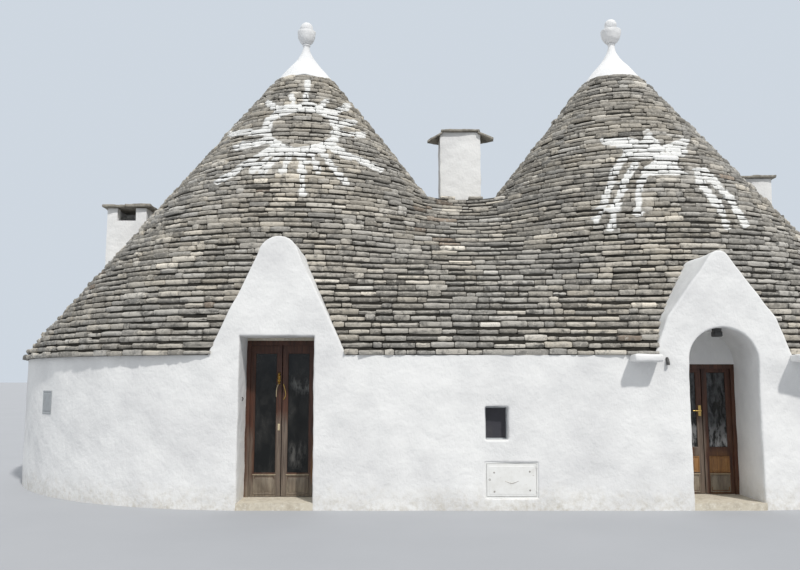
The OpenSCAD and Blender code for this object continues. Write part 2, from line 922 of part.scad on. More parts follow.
module left_door_frame() { door_frame(left_x, left_frame_y, left_door_w, left_head_z); }
module left_leaf_a() { left_leaf(-1); }
module left_pane_a() { left_pane(-1); }
module left_leaf_b() { left_leaf(1); }
module left_pane_b() { left_pane(1); }
module right_door_frame() { door_frame(right_x, right_frame_y, right_door_w, right_door_z); }
module right_leaf_a() { right_leaf(-1); }
module right_pane_a() { right_pane(-1); }
module right_leaf_b() { right_leaf(1); }
module right_pane_b() { right_pane(1); }

// Brass lever handle on the meeting stile of the right door's left leaf
module right_handle() {
    face_y = right_frame_y + leaf_lap_y;
    stile_x = right_x - meeting_gap / 2 - stile_w / 2;
    color("#b08d3c") {
        translate([stile_x - handle_plate_w / 2, face_y - handle_plate_t,
            handle_z - handle_plate_h / 2])
            cube([handle_plate_w, handle_plate_t, handle_plate_h]);
        translate([stile_x, face_y - handle_plate_t, handle_z])
            rotate([90, 0, 0]) cylinder(r = handle_r, h = handle_post - handle_plate_t);
        translate([stile_x + handle_r, face_y - handle_post, handle_z])
            rotate([0, -90, 0]) cylinder(r = handle_r, h = handle_l);
    }
}

module window_frame() {
    color("#8d9094")
        translate([window_x - window_w / 2, front_y + window_reveal, window_z])
            difference() {
                cube([window_w, window_frame_d, window_h]);
                translate([window_bar, -past, window_bar])
                    cube([window_w - 2 * window_bar, top_z, window_h - 2 * window_bar]);
            }
}

module window_pane() {
    color("#26303a", 0.6)
        translate([window_x - window_w / 2 + window_bar,
            front_y + window_reveal + (window_frame_d - pane_t) / 2, window_z + window_bar])
            cube([window_w - 2 * window_bar, pane_t, window_h - 2 * window_bar]);
}

// Foot heights of the hatch's hinges
function hatch_feet() = [hatch_z + hatch_hinge_in, hatch_z + hatch_h - hatch_hinge_in];

// Knuckles of the hatch's hinges: the frame's lower ones or the door's upper ones
module hatch_knuckles(side, rise) {
    for (foot = hatch_feet())
        translate([hatch_x + hatch_w - hatch_bar / 2 - leaf_gap / 2,
            front_y - hatch_hinge_out, foot + rise])
            knuckle(hatch_knuckle_r, hatch_knuckle_h, side, hatch_hinge_out - plate_t);
}

// Steel frame of the hatch, with a rebate for its door
module hatch_frame() {
    color("#d9dadb") {
        translate([hatch_x, front_y, hatch_z])
            difference() {
                cube([hatch_w, hatch_frame_d, hatch_h]);
                translate([hatch_bar, -past, hatch_bar])
                    cube([hatch_w - 2 * hatch_bar, top_z, hatch_h - 2 * hatch_bar]);
                translate([hatch_bar / 2, -past, hatch_bar / 2])
                    cube([hatch_w - hatch_bar, past + hatch_t + leaf_gap,
                        hatch_h - hatch_bar]);
            }
        hatch_knuckles(1, 0);
    }
}

// Hatch door, set in the rebate of its frame
module hatch_door() {
    slack = hatch_bar / 2 + leaf_gap;
    color("#e6e7e8") {
        translate([hatch_x + slack, front_y, hatch_z + slack])
            cube([hatch_w - 2 * slack, hatch_t, hatch_h - 2 * slack]);
        hatch_knuckles(-1, hatch_knuckle_h + knuckle_gap);
    }
}

module meter_cover() {
    color("#a9acac")
        translate([-axis_half, 0, 0])
            rotate([0, 0, cover_angle])
                translate([plan_r + cover_out - cover_t, -cover_w / 2, cover_z])
                    cube([cover_t, cover_w, cover_h]);
}

floor_slab();  // floor
west_front_wall();
west_back_wall();
east_front_wall();
east_back_wall();
front_left_wall();
front_mid_wall();
hatch_masonry();
window_masonry();
front_right_wall();
back_left_wall();
back_mid_wall();
back_right_wall();
thresholds();
left_gable();
right_gable();
left_lintel();
right_tympanum();
eaves_ledges();
left_vault();
right_vault();
left_roof();
right_roof();
front_valley();
back_valley();
saddle();
left_cap();
right_cap();
left_pinnacle();
right_pinnacle();
left_chimney();
left_chimney_slab();
mid_chimney();
mid_chimney_slabs();
right_chimney();
right_chimney_slab();
left_door_frame();
left_leaf_a();
left_pane_a();
left_leaf_b();
left_pane_b();
right_door_frame();
right_leaf_a();
right_pane_a();
right_leaf_b();
right_pane_b();
right_handle();
window_frame();
window_pane();
hatch_frame();
hatch_door();
meter_cover();
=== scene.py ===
"""Looks of a trullo house: dry-stone cones, lime-washed walls, caps, chimneys and doors.

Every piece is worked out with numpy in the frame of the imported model: metres, X along the
front, Y into the house, Z up. Each class holds the sizes of one sub-assembly.
"""

import json
import logging
import math
from dataclasses import dataclass, field
from enum import Enum

import bpy
import numpy as np
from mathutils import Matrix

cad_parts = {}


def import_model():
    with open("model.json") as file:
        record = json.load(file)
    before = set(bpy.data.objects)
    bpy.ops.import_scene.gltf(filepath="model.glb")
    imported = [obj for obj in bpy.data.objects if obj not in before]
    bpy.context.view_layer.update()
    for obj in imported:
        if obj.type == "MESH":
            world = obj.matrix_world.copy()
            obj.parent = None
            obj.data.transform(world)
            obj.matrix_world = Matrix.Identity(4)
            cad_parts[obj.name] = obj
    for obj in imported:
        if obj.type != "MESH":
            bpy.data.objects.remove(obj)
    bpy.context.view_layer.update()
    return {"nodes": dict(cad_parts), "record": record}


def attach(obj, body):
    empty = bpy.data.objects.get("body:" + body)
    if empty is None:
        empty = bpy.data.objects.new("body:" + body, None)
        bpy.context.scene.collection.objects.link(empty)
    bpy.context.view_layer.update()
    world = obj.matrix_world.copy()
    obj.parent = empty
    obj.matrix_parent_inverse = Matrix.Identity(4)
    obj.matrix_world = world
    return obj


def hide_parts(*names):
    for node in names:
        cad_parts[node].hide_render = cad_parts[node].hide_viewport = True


Object, Material, Socket = bpy.types.Object, bpy.types.Material, bpy.types.NodeSocket
Array = np.ndarray
Triple = tuple[float, float, float]
Colour = Corner = Triple
Form = tuple[Array, Array, Array]
Pair = tuple[float, float]
Profile = tuple[Pair, ...]
LOG = logging.getLogger("trullo")
HOUSE = "house"
MADE: dict[str, Material] = {}


class Facing(Enum):
    """Side of the house that a smoke outlet opens to."""

    FRONT = -1
    BACK = 1


# Part: shapes


def put_mesh(name: str, points: Array, quads: Array, tris: Array | None = None,
             angle: float = 180.0) -> Object:
    """Puts vertices and faces into a new mesh object at the origin.

    Args:
        name: name of the piece.
        points: (n, 3) vertices in metres.
        quads: (m, 4) vertex numbers, outward order.
        tris: (k, 3) vertex numbers, or None.
        angle: edges sharper than this many degrees stay sharp.

    Returns:
        The new object.
    """
    tris = np.zeros((0, 3), int) if tris is None else tris
    mesh = bpy.data.meshes.new(name)
    loops = np.concatenate([quads.ravel(), tris.ravel()]).astype(np.int32)
    starts = np.concatenate([np.arange(len(quads)) * 4,
                             len(quads) * 4 + np.arange(len(tris)) * 3]).astype(np.int32)
    mesh.vertices.add(len(points))
    mesh.vertices.foreach_set("co", np.ascontiguousarray(points, np.float32).ravel())
    mesh.loops.add(len(loops))
    mesh.loops.foreach_set("vertex_index", loops)
    mesh.polygons.add(len(starts))
    mesh.polygons.foreach_set("loop_start", starts)
    mesh.polygons.foreach_set("use_smooth", np.ones(len(starts), bool))
    mesh.update(calc_edges=True)
    mesh.validate()
    if angle < 180.0:
        mesh.set_sharp_from_angle(angle=math.radians(angle))
    piece = bpy.data.objects.new(name, mesh)
    bpy.context.scene.collection.objects.link(piece)
    return piece


def lattice(rows: int, columns: int, wrap_rows: bool = False,
            wrap_columns: bool = False) -> Array:
    """Quads of a grid of vertices numbered row by row.

    Args:
        rows: vertices along the first parameter.
        columns: vertices along the second parameter.
        wrap_rows: whether the last row joins the first.
        wrap_columns: whether the last column joins the first.

    Returns:
        (m, 4) vertex numbers, which run along the first parameter, then the second.
    """
    i = np.arange(rows if wrap_rows else rows - 1)[:, None]
    j = np.arange(columns if wrap_columns else columns - 1)[None, :]
    k = (i + 1) % rows
    m = (j + 1) % columns
    return axes(i * columns + j, k * columns + j, k * columns + m,
                i * columns + m).reshape(-1, 4)


def joined(parts: list[tuple[Array, ...]]) -> tuple[Array, ...]:
    """Several forms as one, with their vertex numbers moved on.

    Args:
        parts: (points, quads) or (points, quads, tris) of each form.

    Returns:
        Points and faces of the same kinds.
    """
    moved = np.cumsum([0] + [len(part[0]) for part in parts[:-1]])
    points, *kinds = zip(*parts)
    return (np.concatenate(points),
            *(np.concatenate([faces + shift for faces, shift in zip(kind, moved)])
              for kind in kinds))


def as_unit(vectors: Array) -> Array:
    """Vectors of length 1 with the directions of the given ones."""
    return vectors / np.linalg.norm(vectors, axis=-1, keepdims=True)


def axes(*values: object) -> Array:
    """Points from arrays of their coordinates, in which single numbers are repeated."""
    return np.stack(np.broadcast_arrays(*values), axis=-1)


def ways(turn: Array) -> Array:
    """Flat directions (cos t, sin t) at the given angles."""
    return axes(np.cos(turn), np.sin(turn))


def full_turn(columns: int) -> Array:
    """Angles of points spread evenly around a circle."""
    return np.linspace(0, 2 * np.pi, columns, endpoint=False)


def welded(parts: list[tuple[Array, Array]], reach: float = 1e-4) -> tuple[Array, Array]:
    """Patches as one mesh, in which vertices at the same place are made one.

    Args:
        parts: (points, quads) pairs; the first three columns of points are the place.
        reach: size of the cells in which places count as the same.

    Returns:
        The vertices that faces use, and the faces.
    """
    points, quads = joined(parts)
    cells = np.round(points[:, :3] / reach).astype(np.int64)
    _, first, which = np.unique(cells, axis=0, return_index=True, return_inverse=True)
    used, numbers = np.unique(which.reshape(-1)[quads], return_inverse=True)
    return points[first[used]], numbers.reshape(-1, 4)


def face_normals(points: Array, quads: Array) -> Array:
    """Normals of quads, twice their area long: the diagonals' cross product."""
    a, b, c, d = points[quads].transpose(1, 0, 2)
    return np.cross(c - a, d - b)


def closed_shell(points: Array, quads: Array, thick: float) -> tuple[Array, Array]:
    """Gives an open surface a thickness and closes its borders.

    Args:
        points: (n, 3) vertices of the front.
        quads: (m, 4) faces of the front.
        thick: distance of the back along the vertex normals.

    Returns:
        Vertices and quads of the front, the back and a strip on every edge that only
        one face has.
    """
    count = len(points)
    normal = np.zeros_like(points)
    np.add.at(normal, quads.ravel(), np.repeat(face_normals(points, quads), 4, axis=0))
    edges = np.stack([quads, np.roll(quads, -1, axis=1)], axis=-1).reshape(-1, 2)
    key = edges.min(axis=1) * count + edges.max(axis=1)
    _, where, times = np.unique(key, return_index=True, return_counts=True)
    a, b = edges[where[times == 1]].T
    return (np.concatenate([points, points - as_unit(normal) * thick]),
            np.concatenate([quads, quads[:, ::-1] + count, axes(b, a, a + count, b + count)]))


def outward(points: Array, quads: Array, tris: Array) -> Form:
    """Closed form with its faces turned round where its volume is negative.

    Args:
        points: (n, 3) vertices.
        quads: (m, 4) faces.
        tris: (k, 3) faces.

    Returns:
        The form. The volume is the sum of a . (b x c) / 6 over all triangles.
    """
    corners = np.concatenate([quads[:, :3], quads[:, [0, 2, 3]], tris])
    a, b, c = (points - points[0])[corners].transpose(1, 0, 2)
    order = -1 if (a * np.cross(b, c)).sum() < 0 else 1
    return points, quads[:, ::order], tris[:, ::order]


def closed_form(rings: Array) -> Form:
    """Closed surface through rings of vertices, with a fan over both ends.

    Args:
        rings: (rows, columns, 3) vertices, each row a closed ring.

    Returns:
        The form, which faces outwards.
    """
    rows, columns = rings.shape[:2]
    count = rows * columns
    points = np.concatenate([rings.reshape(-1, 3), rings[[0, -1]].mean(axis=1)])
    i = np.arange(columns)
    j = (i + 1) % columns
    last = count - columns
    tris = np.concatenate([axes(i, j, count), axes(j + last, i + last, count + 1)])
    return outward(points, lattice(rows, columns, wrap_columns=True), tris)


def spread(stops: tuple[float, ...], spacing: float) -> Array:
    """Values from stop to stop, each stretch evenly divided by about a spacing."""
    parts = [np.linspace(a, b, max(1, round(abs(b - a) / spacing)) + 1)[:-1]
             for a, b in zip(stops, stops[1:])]
    return np.concatenate([*parts, [stops[-1]]])


def eased(share: Array) -> Array:
    """Share held between 0 and 1 and eased at both ends: 3 t^2 - 2 t^3."""
    t = np.clip(share, 0.0, 1.0)
    return t * t * (3 - 2 * t)


def around(xs: Array, ys: Array) -> Array:
    """Points on a rectangle's edge, anticlockwise from its first corner.

    Args:
        xs: upright lines from side to side.
        ys: level lines from side to side.

    Returns:
        (n, 2) points, one for each end of a line.
    """
    return np.concatenate([axes(xs[:-1], ys[0]), axes(xs[-1], ys[:-1]),
                           axes(xs[:0:-1], ys[-1]), axes(xs[0], ys[:0:-1])])


def centred(low: tuple[float, ...], high: tuple[float, ...]) -> tuple[Array, Array]:
    """Middle and half sizes of a block or rectangle between two corners."""
    return np.add(high, low) / 2, np.subtract(high, low) / 2


def rounded_frame(unit: Array, centre: Array, half: Array,
                  corner: float) -> tuple[Array, Array]:
    """Rounded rectangle read at places on the edge of a unit square.

    Args:
        unit: (n, 2) places, the larger of whose sizes is 1.
        centre: its middle.
        half: its half sizes.
        corner: radius of its corners.

    Returns:
        (n, 2) points and outward normals. Past a corner's start a place moves onto the
        arc, at 45 degrees * (1 + share up - share across).
    """
    reach = np.abs(unit * half)
    over = ((reach - half + corner) / corner).clip(0, 1)
    turn = (1 + over[:, 1] - over[:, 0]) * np.pi / 4
    normal = np.sign(unit) * ways(turn)
    core = np.sign(unit) * np.minimum(reach, half - corner)
    return core + corner * normal + centre, normal


def read_off(places: Array, walk: Array, values: Array) -> Array:
    """Two-column values read between their rows, whose places are given by walk."""
    return np.stack([np.interp(places, walk, column) for column in values.T], axis=-1)


def soft_line(corners: Array, count: int, reach: float) -> tuple[Array, Array]:
    """Line through corners, evenly divided and rounded off.

    Args:
        corners: (n, 2) corners of the line.
        count: number of points wanted.
        reach: distance over which places are averaged on each side.

    Returns:
        (count, 2) points and unit tangents.
    """
    steps = np.linalg.norm(np.diff(corners, axis=0), axis=1)
    walk = np.concatenate([[0.0], np.cumsum(steps)])
    fine = np.linspace(0, walk[-1], 3000)
    line = read_off(fine, walk, corners)
    size = max(2, int(reach / fine[1]))
    kernel = np.hanning(2 * size + 1)
    kernel /= kernel.sum()
    padded = np.concatenate([2 * line[0] - line[size:0:-1], line,
                             2 * line[-1] - line[-2:-size - 2:-1]])
    line = np.stack([np.convolve(padded[:, i], kernel, "valid") for i in range(2)], axis=1)
    picks = np.linspace(0, walk[-1], count)
    tangent = as_unit(np.gradient(line, axis=0))
    return read_off(picks, fine, line), read_off(picks, fine, tangent)


def set_tint(piece: Object, values: Array) -> None:
    """Stores (n, 4) colours of the vertices, which the shader reads as "tint"."""
    layer = piece.data.attributes.new("tint", "FLOAT_COLOR", "POINT")
    layer.data.foreach_set("color", values.astype(np.float32).ravel())


def settle(name: str, form: tuple[Array, ...], slot: str, *nodes: str, finish: str = "",
           angle: float = 50.0, body: str = HOUSE) -> Object:
    """Makes a piece, gives it its finish and body and hides the nodes that it stands for.

    Args:
        name: its name.
        form: its vertices, quads and perhaps triangles.
        slot: slot of the record, whose finish it takes if no finish is given.
        *nodes: nodes that it stands for.
        finish: name of its finish, if it isn't the slot's.
        angle: edges sharper than this many degrees stay sharp.
        body: body that carries it.

    Returns:
        The piece.
    """
    piece = put_mesh(name, *form, angle=angle)
    piece.data.materials.append(MADE[finish or slot])
    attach(piece, body)
    if nodes:
        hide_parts(*nodes)
    LOG.info("%s: %d faces", name, len(piece.data.polygons))
    return piece


@dataclass(frozen=True)
class Swell:
    """Smooth unevenness: a sum of plane sine waves with fixed random directions."""

    height: float
    shortest: float
    longest: float
    seed: int
    waves: int = 14

    def at(self, points: Array) -> Array:
        """Height of the unevenness, which is sum(w * sin(k . p + phase)).

        Args:
            points: (..., 3) places in metres.

        Returns:
            (...) heights of about plus or minus `height`.
        """
        draw = np.random.default_rng(self.seed)
        heading = as_unit(draw.normal(size=(self.waves, 3)))
        length = np.exp(draw.uniform(np.log(self.shortest), np.log(self.longest), self.waves))
        phase = draw.uniform(0, 2 * np.pi, self.waves)
        weight = np.sqrt(length)
        weight *= self.height / np.sqrt((weight ** 2).sum() / 2) / 1.6
        return np.sin(points @ (heading * (2 * np.pi / length[:, None])).T + phase) @ weight


PLASTER_SWELL = Swell(0.0055, 0.16, 0.9, 11)


@dataclass(frozen=True)
class Stance:
    """Place and lens of the view of the front, which also lays out the painted signs."""

    x: float = -1.13
    y: float = -14.3
    z: float = 1.6
    tilt: float = 6.9
    focal: float = 778.0
    width: int = 800
    height: int = 570

    def project(self, points: Array) -> tuple[Array, Array]:
        """Flat coordinates of points: across and down, each divided by the depth.

        Args:
            points: (..., 3) places in metres.

        Returns:
            Two arrays, across and down, in picture units.
        """
        rise = math.radians(self.tilt)
        off = points - np.array([self.x, self.y, self.z])
        depth = off[..., 1] * math.cos(rise) + off[..., 2] * math.sin(rise)
        up = off[..., 2] * math.cos(rise) - off[..., 1] * math.sin(rise)
        return (self.width / 2 + self.focal * off[..., 0] / depth,
                self.height / 2 - self.focal * up / depth)


# Part: finishes


@dataclass
class Wiring:
    """Short way to add shader nodes to one material and join their sockets."""

    name: str
    material: Material = field(init=False)

    def __post_init__(self) -> None:
        """Makes the material and keeps its surface shader."""
        self.material = bpy.data.materials.new(self.name)
        self.material.use_nodes = True
        self.tree = self.material.node_tree
        self.shader = self.tree.nodes["Principled BSDF"]
        self.place = self.add("ShaderNodeTexCoord").outputs["Object"]

    def add(self, kind: str, links: dict | None = None, **values: object) -> bpy.types.Node:
        """Adds a node.

        Args:
            kind: node type.
            links: input name or number to an output socket or a plain value.
            **values: properties of the node.

        Returns:
            The node.
        """
        node = self.tree.nodes.new(kind)
        for key, value in values.items():
            setattr(node, key, value)
        for key, value in (links or {}).items():
            self.feed(node.inputs[key], value)
        return node

    def feed(self, socket: Socket, value: object) -> None:
        """Joins an input to another socket, or sets it to a number or a colour.

        Args:
            socket: the input.
            value: socket, number, vector or colour of three values.
        """
        if isinstance(value, Socket):
            self.tree.links.new(value, socket)
        elif socket.type == "RGBA":
            socket.default_value = (*value, 1.0)
        else:
            socket.default_value = value

    def noise(self, scale: float, detail: float = 4.0, rough: float = 0.55,
              stretch: Triple = (1, 1, 1)) -> Socket:
        """Cloudy pattern from 0 to 1.

        Args:
            scale: cycles a metre.
            detail: octaves.
            rough: share kept from octave to octave.
            stretch: factors on X, Y and Z before the pattern is read.

        Returns:
            The pattern's value.
        """
        place = self.place
        if stretch != (1, 1, 1):
            place = self.add("ShaderNodeMapping", {"Vector": place, "Scale": stretch}).outputs[0]
        return self.add("ShaderNodeTexNoise", {"Vector": place, "Scale": scale,
                        "Detail": detail, "Roughness": rough}).outputs[0]

    def ramp(self, value: Socket, low: float, high: float, to_low: float = 0.0,
             to_high: float = 1.0) -> Socket:
        """Value moved in a straight line from one span to another, held at the ends."""
        return self.add("ShaderNodeMapRange", {0: value, 1: low, 2: high, 3: to_low,
                        4: to_high}).outputs[0]

    def math(self, kind: str, a: object, b: object = 0.0) -> Socket:
        """Result of one sum, product or other step on two values."""
        return self.add("ShaderNodeMath", {0: a, 1: b}, operation=kind).outputs[0]

    def blend(self, share: object, a: object, b: object) -> Socket:
        """Colour between a and b by a share: a + (b - a) * share."""
        return self.add("ShaderNodeMix", {0: share, 6: a, 7: b}, data_type="RGBA").outputs[2]

    def clouded(self, under: object, over: object, grain: Triple, low: float,
                high: float, most: float = 1.0) -> Socket:
        """Colour under clouds of another, where noise (scale, detail, roughness) is high."""
        return self.blend(self.ramp(self.noise(*grain), low, high, 0.0, most), under, over)

    def patch(self, middle: Pair, half: Pair, soft: float = 0.03, wander: float = 0.05,
              upright: float = 6.0) -> Socket:
        """Share of a patch on the front: 1 in a rectangle, 0 past its wavering edge.

        Args:
            middle: its middle in x and z.
            half: its half sizes.
            soft: width over which the share falls.
            wander: how far noise moves the edge.
            upright: how many times softer the upper and lower edges are.

        Returns:
            One soft step for x times one for z.
        """
        parts = self.add("ShaderNodeSeparateXYZ", {0: self.place}).outputs
        waver = self.math("MULTIPLY", self.noise(9, 5, 0.6, (1, 1, 0.4)), wander)
        shares = []
        for socket, centre, size, times in ((parts[0], middle[0], half[0], 1.0),
                                            (parts[2], middle[1], half[1], upright)):
            off = self.math("ABSOLUTE", self.math("SUBTRACT", socket, centre))
            off = self.math("ADD", off, self.math("MULTIPLY", waver, times))
            shares.append(self.ramp(off, size, size + soft * times, 1.0, 0.0))
        return self.math("MULTIPLY", *shares)

    def height(self) -> Socket:
        """Height above the ground in metres."""
        return self.add("ShaderNodeSeparateXYZ", {0: self.place}).outputs[2]

    def bump(self, value: Socket, depth: float, under: Socket | None = None) -> Socket:
        """Relief of the surface.

        Args:
            value: pattern whose 1 stands `depth` metres above its 0.
            depth: metres.
            under: relief that this one is added to.

        Returns:
            The bent normal.
        """
        links = {"Height": value, "Distance": depth, "Strength": 1.0}
        if under is not None:
            links["Normal"] = under
        return self.add("ShaderNodeBump", links).outputs[0]

    def close(self, colour: object, rough: object, normal: Socket | None = None,
              **values: float) -> Material:
        """Joins colour, roughness and relief to the surface shader.

        Args:
            colour: a colour or its socket.
            rough: a number or its socket.
            normal: the relief.
            **values: other inputs of the shader, spaces written as _.

        Returns:
            The finished material.
        """
        wanted = {"Base Color": colour, "Roughness": rough}
        wanted.update({key.replace("_", " "): value for key, value in values.items()})
        if normal is not None:
            wanted["Normal"] = normal
        for key, value in wanted.items():
            self.feed(self.shader.inputs[key], value)
        return self.material


@dataclass(frozen=True)
class LimeWash:
    """Brushed white lime over uneven plaster, greyer and stained near the ground."""

    name: str = "lime_wash"
    colour: Colour = (0.80, 0.80, 0.79)
    shade: Colour = (0.66, 0.66, 0.66)
    stain: Colour = (0.50, 0.46, 0.38)
    foot: float = 0.35

    def build(self) -> Material:
        """Material with clouds of grey, a splashed foot, brush marks and fine grain."""
        w = Wiring(self.name)
        colour = w.clouded(self.colour, self.shade, (1.3, 5, 0.55), 0.42, 0.72)
        splash = w.ramp(w.math("ADD", w.height(), w.math("MULTIPLY", w.noise(7, 6), 0.5)),
                        0.22, 0.22 + self.foot, 1.0, 0.0)
        share = w.math("MULTIPLY", splash, w.ramp(w.noise(15, 5, 0.7), 0.40, 0.70, 0.1, 0.8))
        colour = w.blend(share, colour, self.stain)
        colour = w.clouded(colour, self.stain, (26, 6, 0.7), 0.62, 0.74, 0.16)
        relief = w.bump(w.noise(11, 3), 0.010)
        relief = w.bump(w.noise(48, 5, 0.6, (1, 1, 0.6)), 0.0035, relief)
        relief = w.bump(w.noise(190, 3, 0.6), 0.0009, relief)
        return w.close(colour, 0.9, relief, Specular_IOR_Level=0.25)


@dataclass(frozen=True)
class DryStone:
    """Weathered limestone; the tint attribute holds each stone's colour and its lime."""

    name: str = "dry_stone"
    lime: Colour = (0.83, 0.83, 0.81)
    lichen: Colour = (0.13, 0.125, 0.115)
    light: Colour = (0.56, 0.53, 0.47)

    def build(self) -> Material:
        """Material of pitted stone with dark lichen, pale chips and painted lime."""
        w = Wiring(self.name)
        tint = w.add("ShaderNodeAttribute", attribute_name="tint")
        colour = w.clouded(tint.outputs["Color"], self.lichen, (9, 6, 0.65), 0.50, 0.68)
        colour = w.clouded(colour, self.light, (23, 6, 0.7), 0.53, 0.66, 0.75)
        colour = w.clouded(colour, self.lichen, (70, 4, 0.7), 0.55, 0.70, 0.5)
        worn = w.ramp(w.noise(16, 6, 0.7), 0.28, 0.42)
        share = w.math("MULTIPLY", w.ramp(tint.outputs["Alpha"], 0.35, 0.65), worn)
        colour = w.blend(share, colour, self.lime)
        relief = w.bump(w.noise(24, 5, 0.6), 0.012)
        relief = w.bump(w.noise(110, 4, 0.65), 0.003, relief)
        return w.close(colour, 0.93, relief, Specular_IOR_Level=0.2)


@dataclass(frozen=True)
class PlainStone:
    """Rough stone of one kind: a bed, whose near-black colour is painted shade, a slab, a sill
    or inner masonry.
    """

    name: str
    colour: Colour
    dark: Colour
    pale: Colour
    scale: float = 1.0
    depth: float = 0.006

    def build(self) -> Material:
        """Material with broad patches, spots of lichen and a pitted surface."""
        w, scale = Wiring(self.name), self.scale
        colour = w.clouded(self.colour, self.dark, (6 * scale, 6, 0.65), 0.45, 0.70)
        colour = w.clouded(colour, self.pale, (19 * scale, 5, 0.7), 0.52, 0.68, 0.8)
        relief = w.bump(w.noise(15 * scale, 5), self.depth)
        relief = w.bump(w.noise(90 * scale, 4, 0.65), self.depth * 0.3, relief)
        return w.close(colour, 0.92, relief, Specular_IOR_Level=0.2)


@dataclass(frozen=True)
class Wear:
    """Patch of a door where the varnish has gone: place, half size, colour and share."""

    middle: Pair
    half: Pair
    colour: Colour
    share: float = 0.9


@dataclass(frozen=True)
class DoorWood:
    """Brown varnished wood with an upright grain, dry and pale where it is worn."""

    name: str = "door_wood"
    colour: Colour = (0.085, 0.027, 0.011)
    dark: Colour = (0.030, 0.011, 0.006)
    dry: Colour = (0.20, 0.115, 0.06)
    worn: float = 0.45
    patches: tuple[Wear, ...] = ()

    def build(self) -> Material:
        """Material with drawn-out grain, fine pores, worn streaks and worn patches."""
        w = Wiring(self.name)
        grain = w.noise(38, 6, 0.6, (1, 1, 0.07))
        streaks = w.ramp(w.noise(60, 5, 0.65, (1, 1, 0.05)), 0.38, 0.62, 0.62, 1.25)
        colour = w.blend(w.ramp(grain, 0.35, 0.68), self.colour, self.dark)
        low = w.ramp(w.height(), 0.1, 1.3, self.worn, 0.05)
        worn = w.math("MULTIPLY", low, w.ramp(w.noise(12, 6, 0.7, (1, 1, 0.25)), 0.45, 0.68))
        colour = w.blend(worn, colour, self.dry)
        for wear in self.patches:
            share = w.math("MULTIPLY", w.patch(wear.middle, wear.half), wear.share)
            grey = w.add("ShaderNodeVectorMath", {0: wear.colour, "Scale": streaks},
                         operation="SCALE").outputs[0]
            colour = w.blend(share, colour, grey)
        relief = w.bump(w.noise(130, 4, 0.6, (1, 1, 0.05)), 0.0007)
        return w.close(colour, w.ramp(grain, 0.3, 0.7, 0.42, 0.66), relief)


RUST = (0.19, 0.075, 0.025)


@dataclass(frozen=True)
class SheetMetal:
    """Painted or bare metal with a clouded sheen, grime and rust that starts at spots."""

    name: str
    colour: Colour
    grime: Colour
    rust: float = 0.0
    rough: float = 0.45
    metal: float = 0.0

    def build(self) -> Material:
        """Material of coated sheet with an orange-peel skin."""
        w = Wiring(self.name)
        colour = w.clouded(self.colour, self.grime, (9, 5, 0.6), 0.45, 0.75, 0.5)
        colour = w.clouded(colour, RUST, (34, 6, 0.75), 0.62, 0.70, self.rust)
        relief = w.bump(w.noise(160, 3, 0.5), 0.0005)
        return w.close(colour, w.ramp(w.noise(20, 4), 0.3, 0.7, self.rough - 0.08,
                                      self.rough + 0.12), relief, Metallic=self.metal)


@dataclass(frozen=True)
class WindowGlass:
    """Dusty dark glass that lets a little of the room through."""

    name: str = "window_glass"
    colour: Colour = (0.006, 0.007, 0.007)
    dust: Colour = (0.13, 0.125, 0.115)
    clear: float = 0.25
    smears: tuple[Wear, ...] = ()

    def build(self) -> Material:
        """Material with a smooth coat, smears of dust and a faint ripple."""
        w = Wiring(self.name)
        smear = w.ramp(w.noise(5, 6, 0.65, (1, 1, 0.6)), 0.45, 0.8, 0.0, 0.4)
        colour = w.blend(smear, self.colour, self.dust)
        blots = w.ramp(w.noise(17, 6, 0.62, (1, 1, 0.35)), 0.44, 0.60)
        for wear in self.smears:
            share = w.math("MULTIPLY", w.patch(wear.middle, wear.half, 0.05, 0.1, 2.0),
                           blots)
            colour = w.blend(w.math("MULTIPLY", share, wear.share), colour, wear.colour)
        relief = w.bump(w.noise(3.5, 2), 0.003)
        return w.close(colour, w.ramp(smear, 0.0, 0.5, 0.06, 0.3), relief,
                       Transmission_Weight=self.clear, Specular_IOR_Level=0.22)


# Part: roof


@dataclass
class Outline:
    """Closed outline of a course on the plan.

    xy are its (n, 2) points and out their outward normals; part is 1 on the right cone,
    0 in a valley and -1 on the left cone.
    """

    xy: Array
    out: Array
    part: Array

    def __post_init__(self) -> None:
        """Measures the distances along the outline, the last of which closes it."""
        steps = np.linalg.norm(np.roll(self.xy, -1, axis=0) - self.xy, axis=1)
        self.walk = np.concatenate([[0.0], np.cumsum(steps)])

    def at(self, places: Array) -> tuple[Array, Array]:
        """Points and normals at the given distances along the outline."""
        places = np.mod(places, self.walk[-1])
        return (read_off(places, self.walk, np.concatenate([self.xy, self.xy[:1]])),
                read_off(places, self.walk, np.concatenate([self.out, self.out[:1]])))

    def part_at(self, places: Array) -> Array:
        """Parts of the roof at the given distances."""
        return self.part[np.searchsorted(self.walk, np.mod(places, self.walk[-1]))
                         % len(self.part)]

    def free_runs(self, blocked: Array, shortest: float = 0.05) -> list[tuple[float, float]]:
        """Stretches of the outline that nothing blocks.

        Args:
            blocked: (n,) truth values of its points.
            shortest: length under which a stretch is left empty.

        Returns:
            Start and end distances; an end may run on past the outline's length.
        """
        walk = self.walk
        if not blocked.any():
            return [(0.0, float(walk[-1]))]
        turn = int(np.argmax(blocked))
        state = np.roll(blocked, -turn)
        change = np.flatnonzero(np.diff(np.concatenate([state, [True]]).astype(int)))
        place = np.concatenate([walk[:-1][turn:], walk[:-1][:turn] + walk[-1],
                                [walk[turn] + walk[-1]]])
        edges = place[change + 1]
        return [(float(a), float(b)) for a, b in zip(edges[::2], edges[1::2])
                if b - a > shortest]


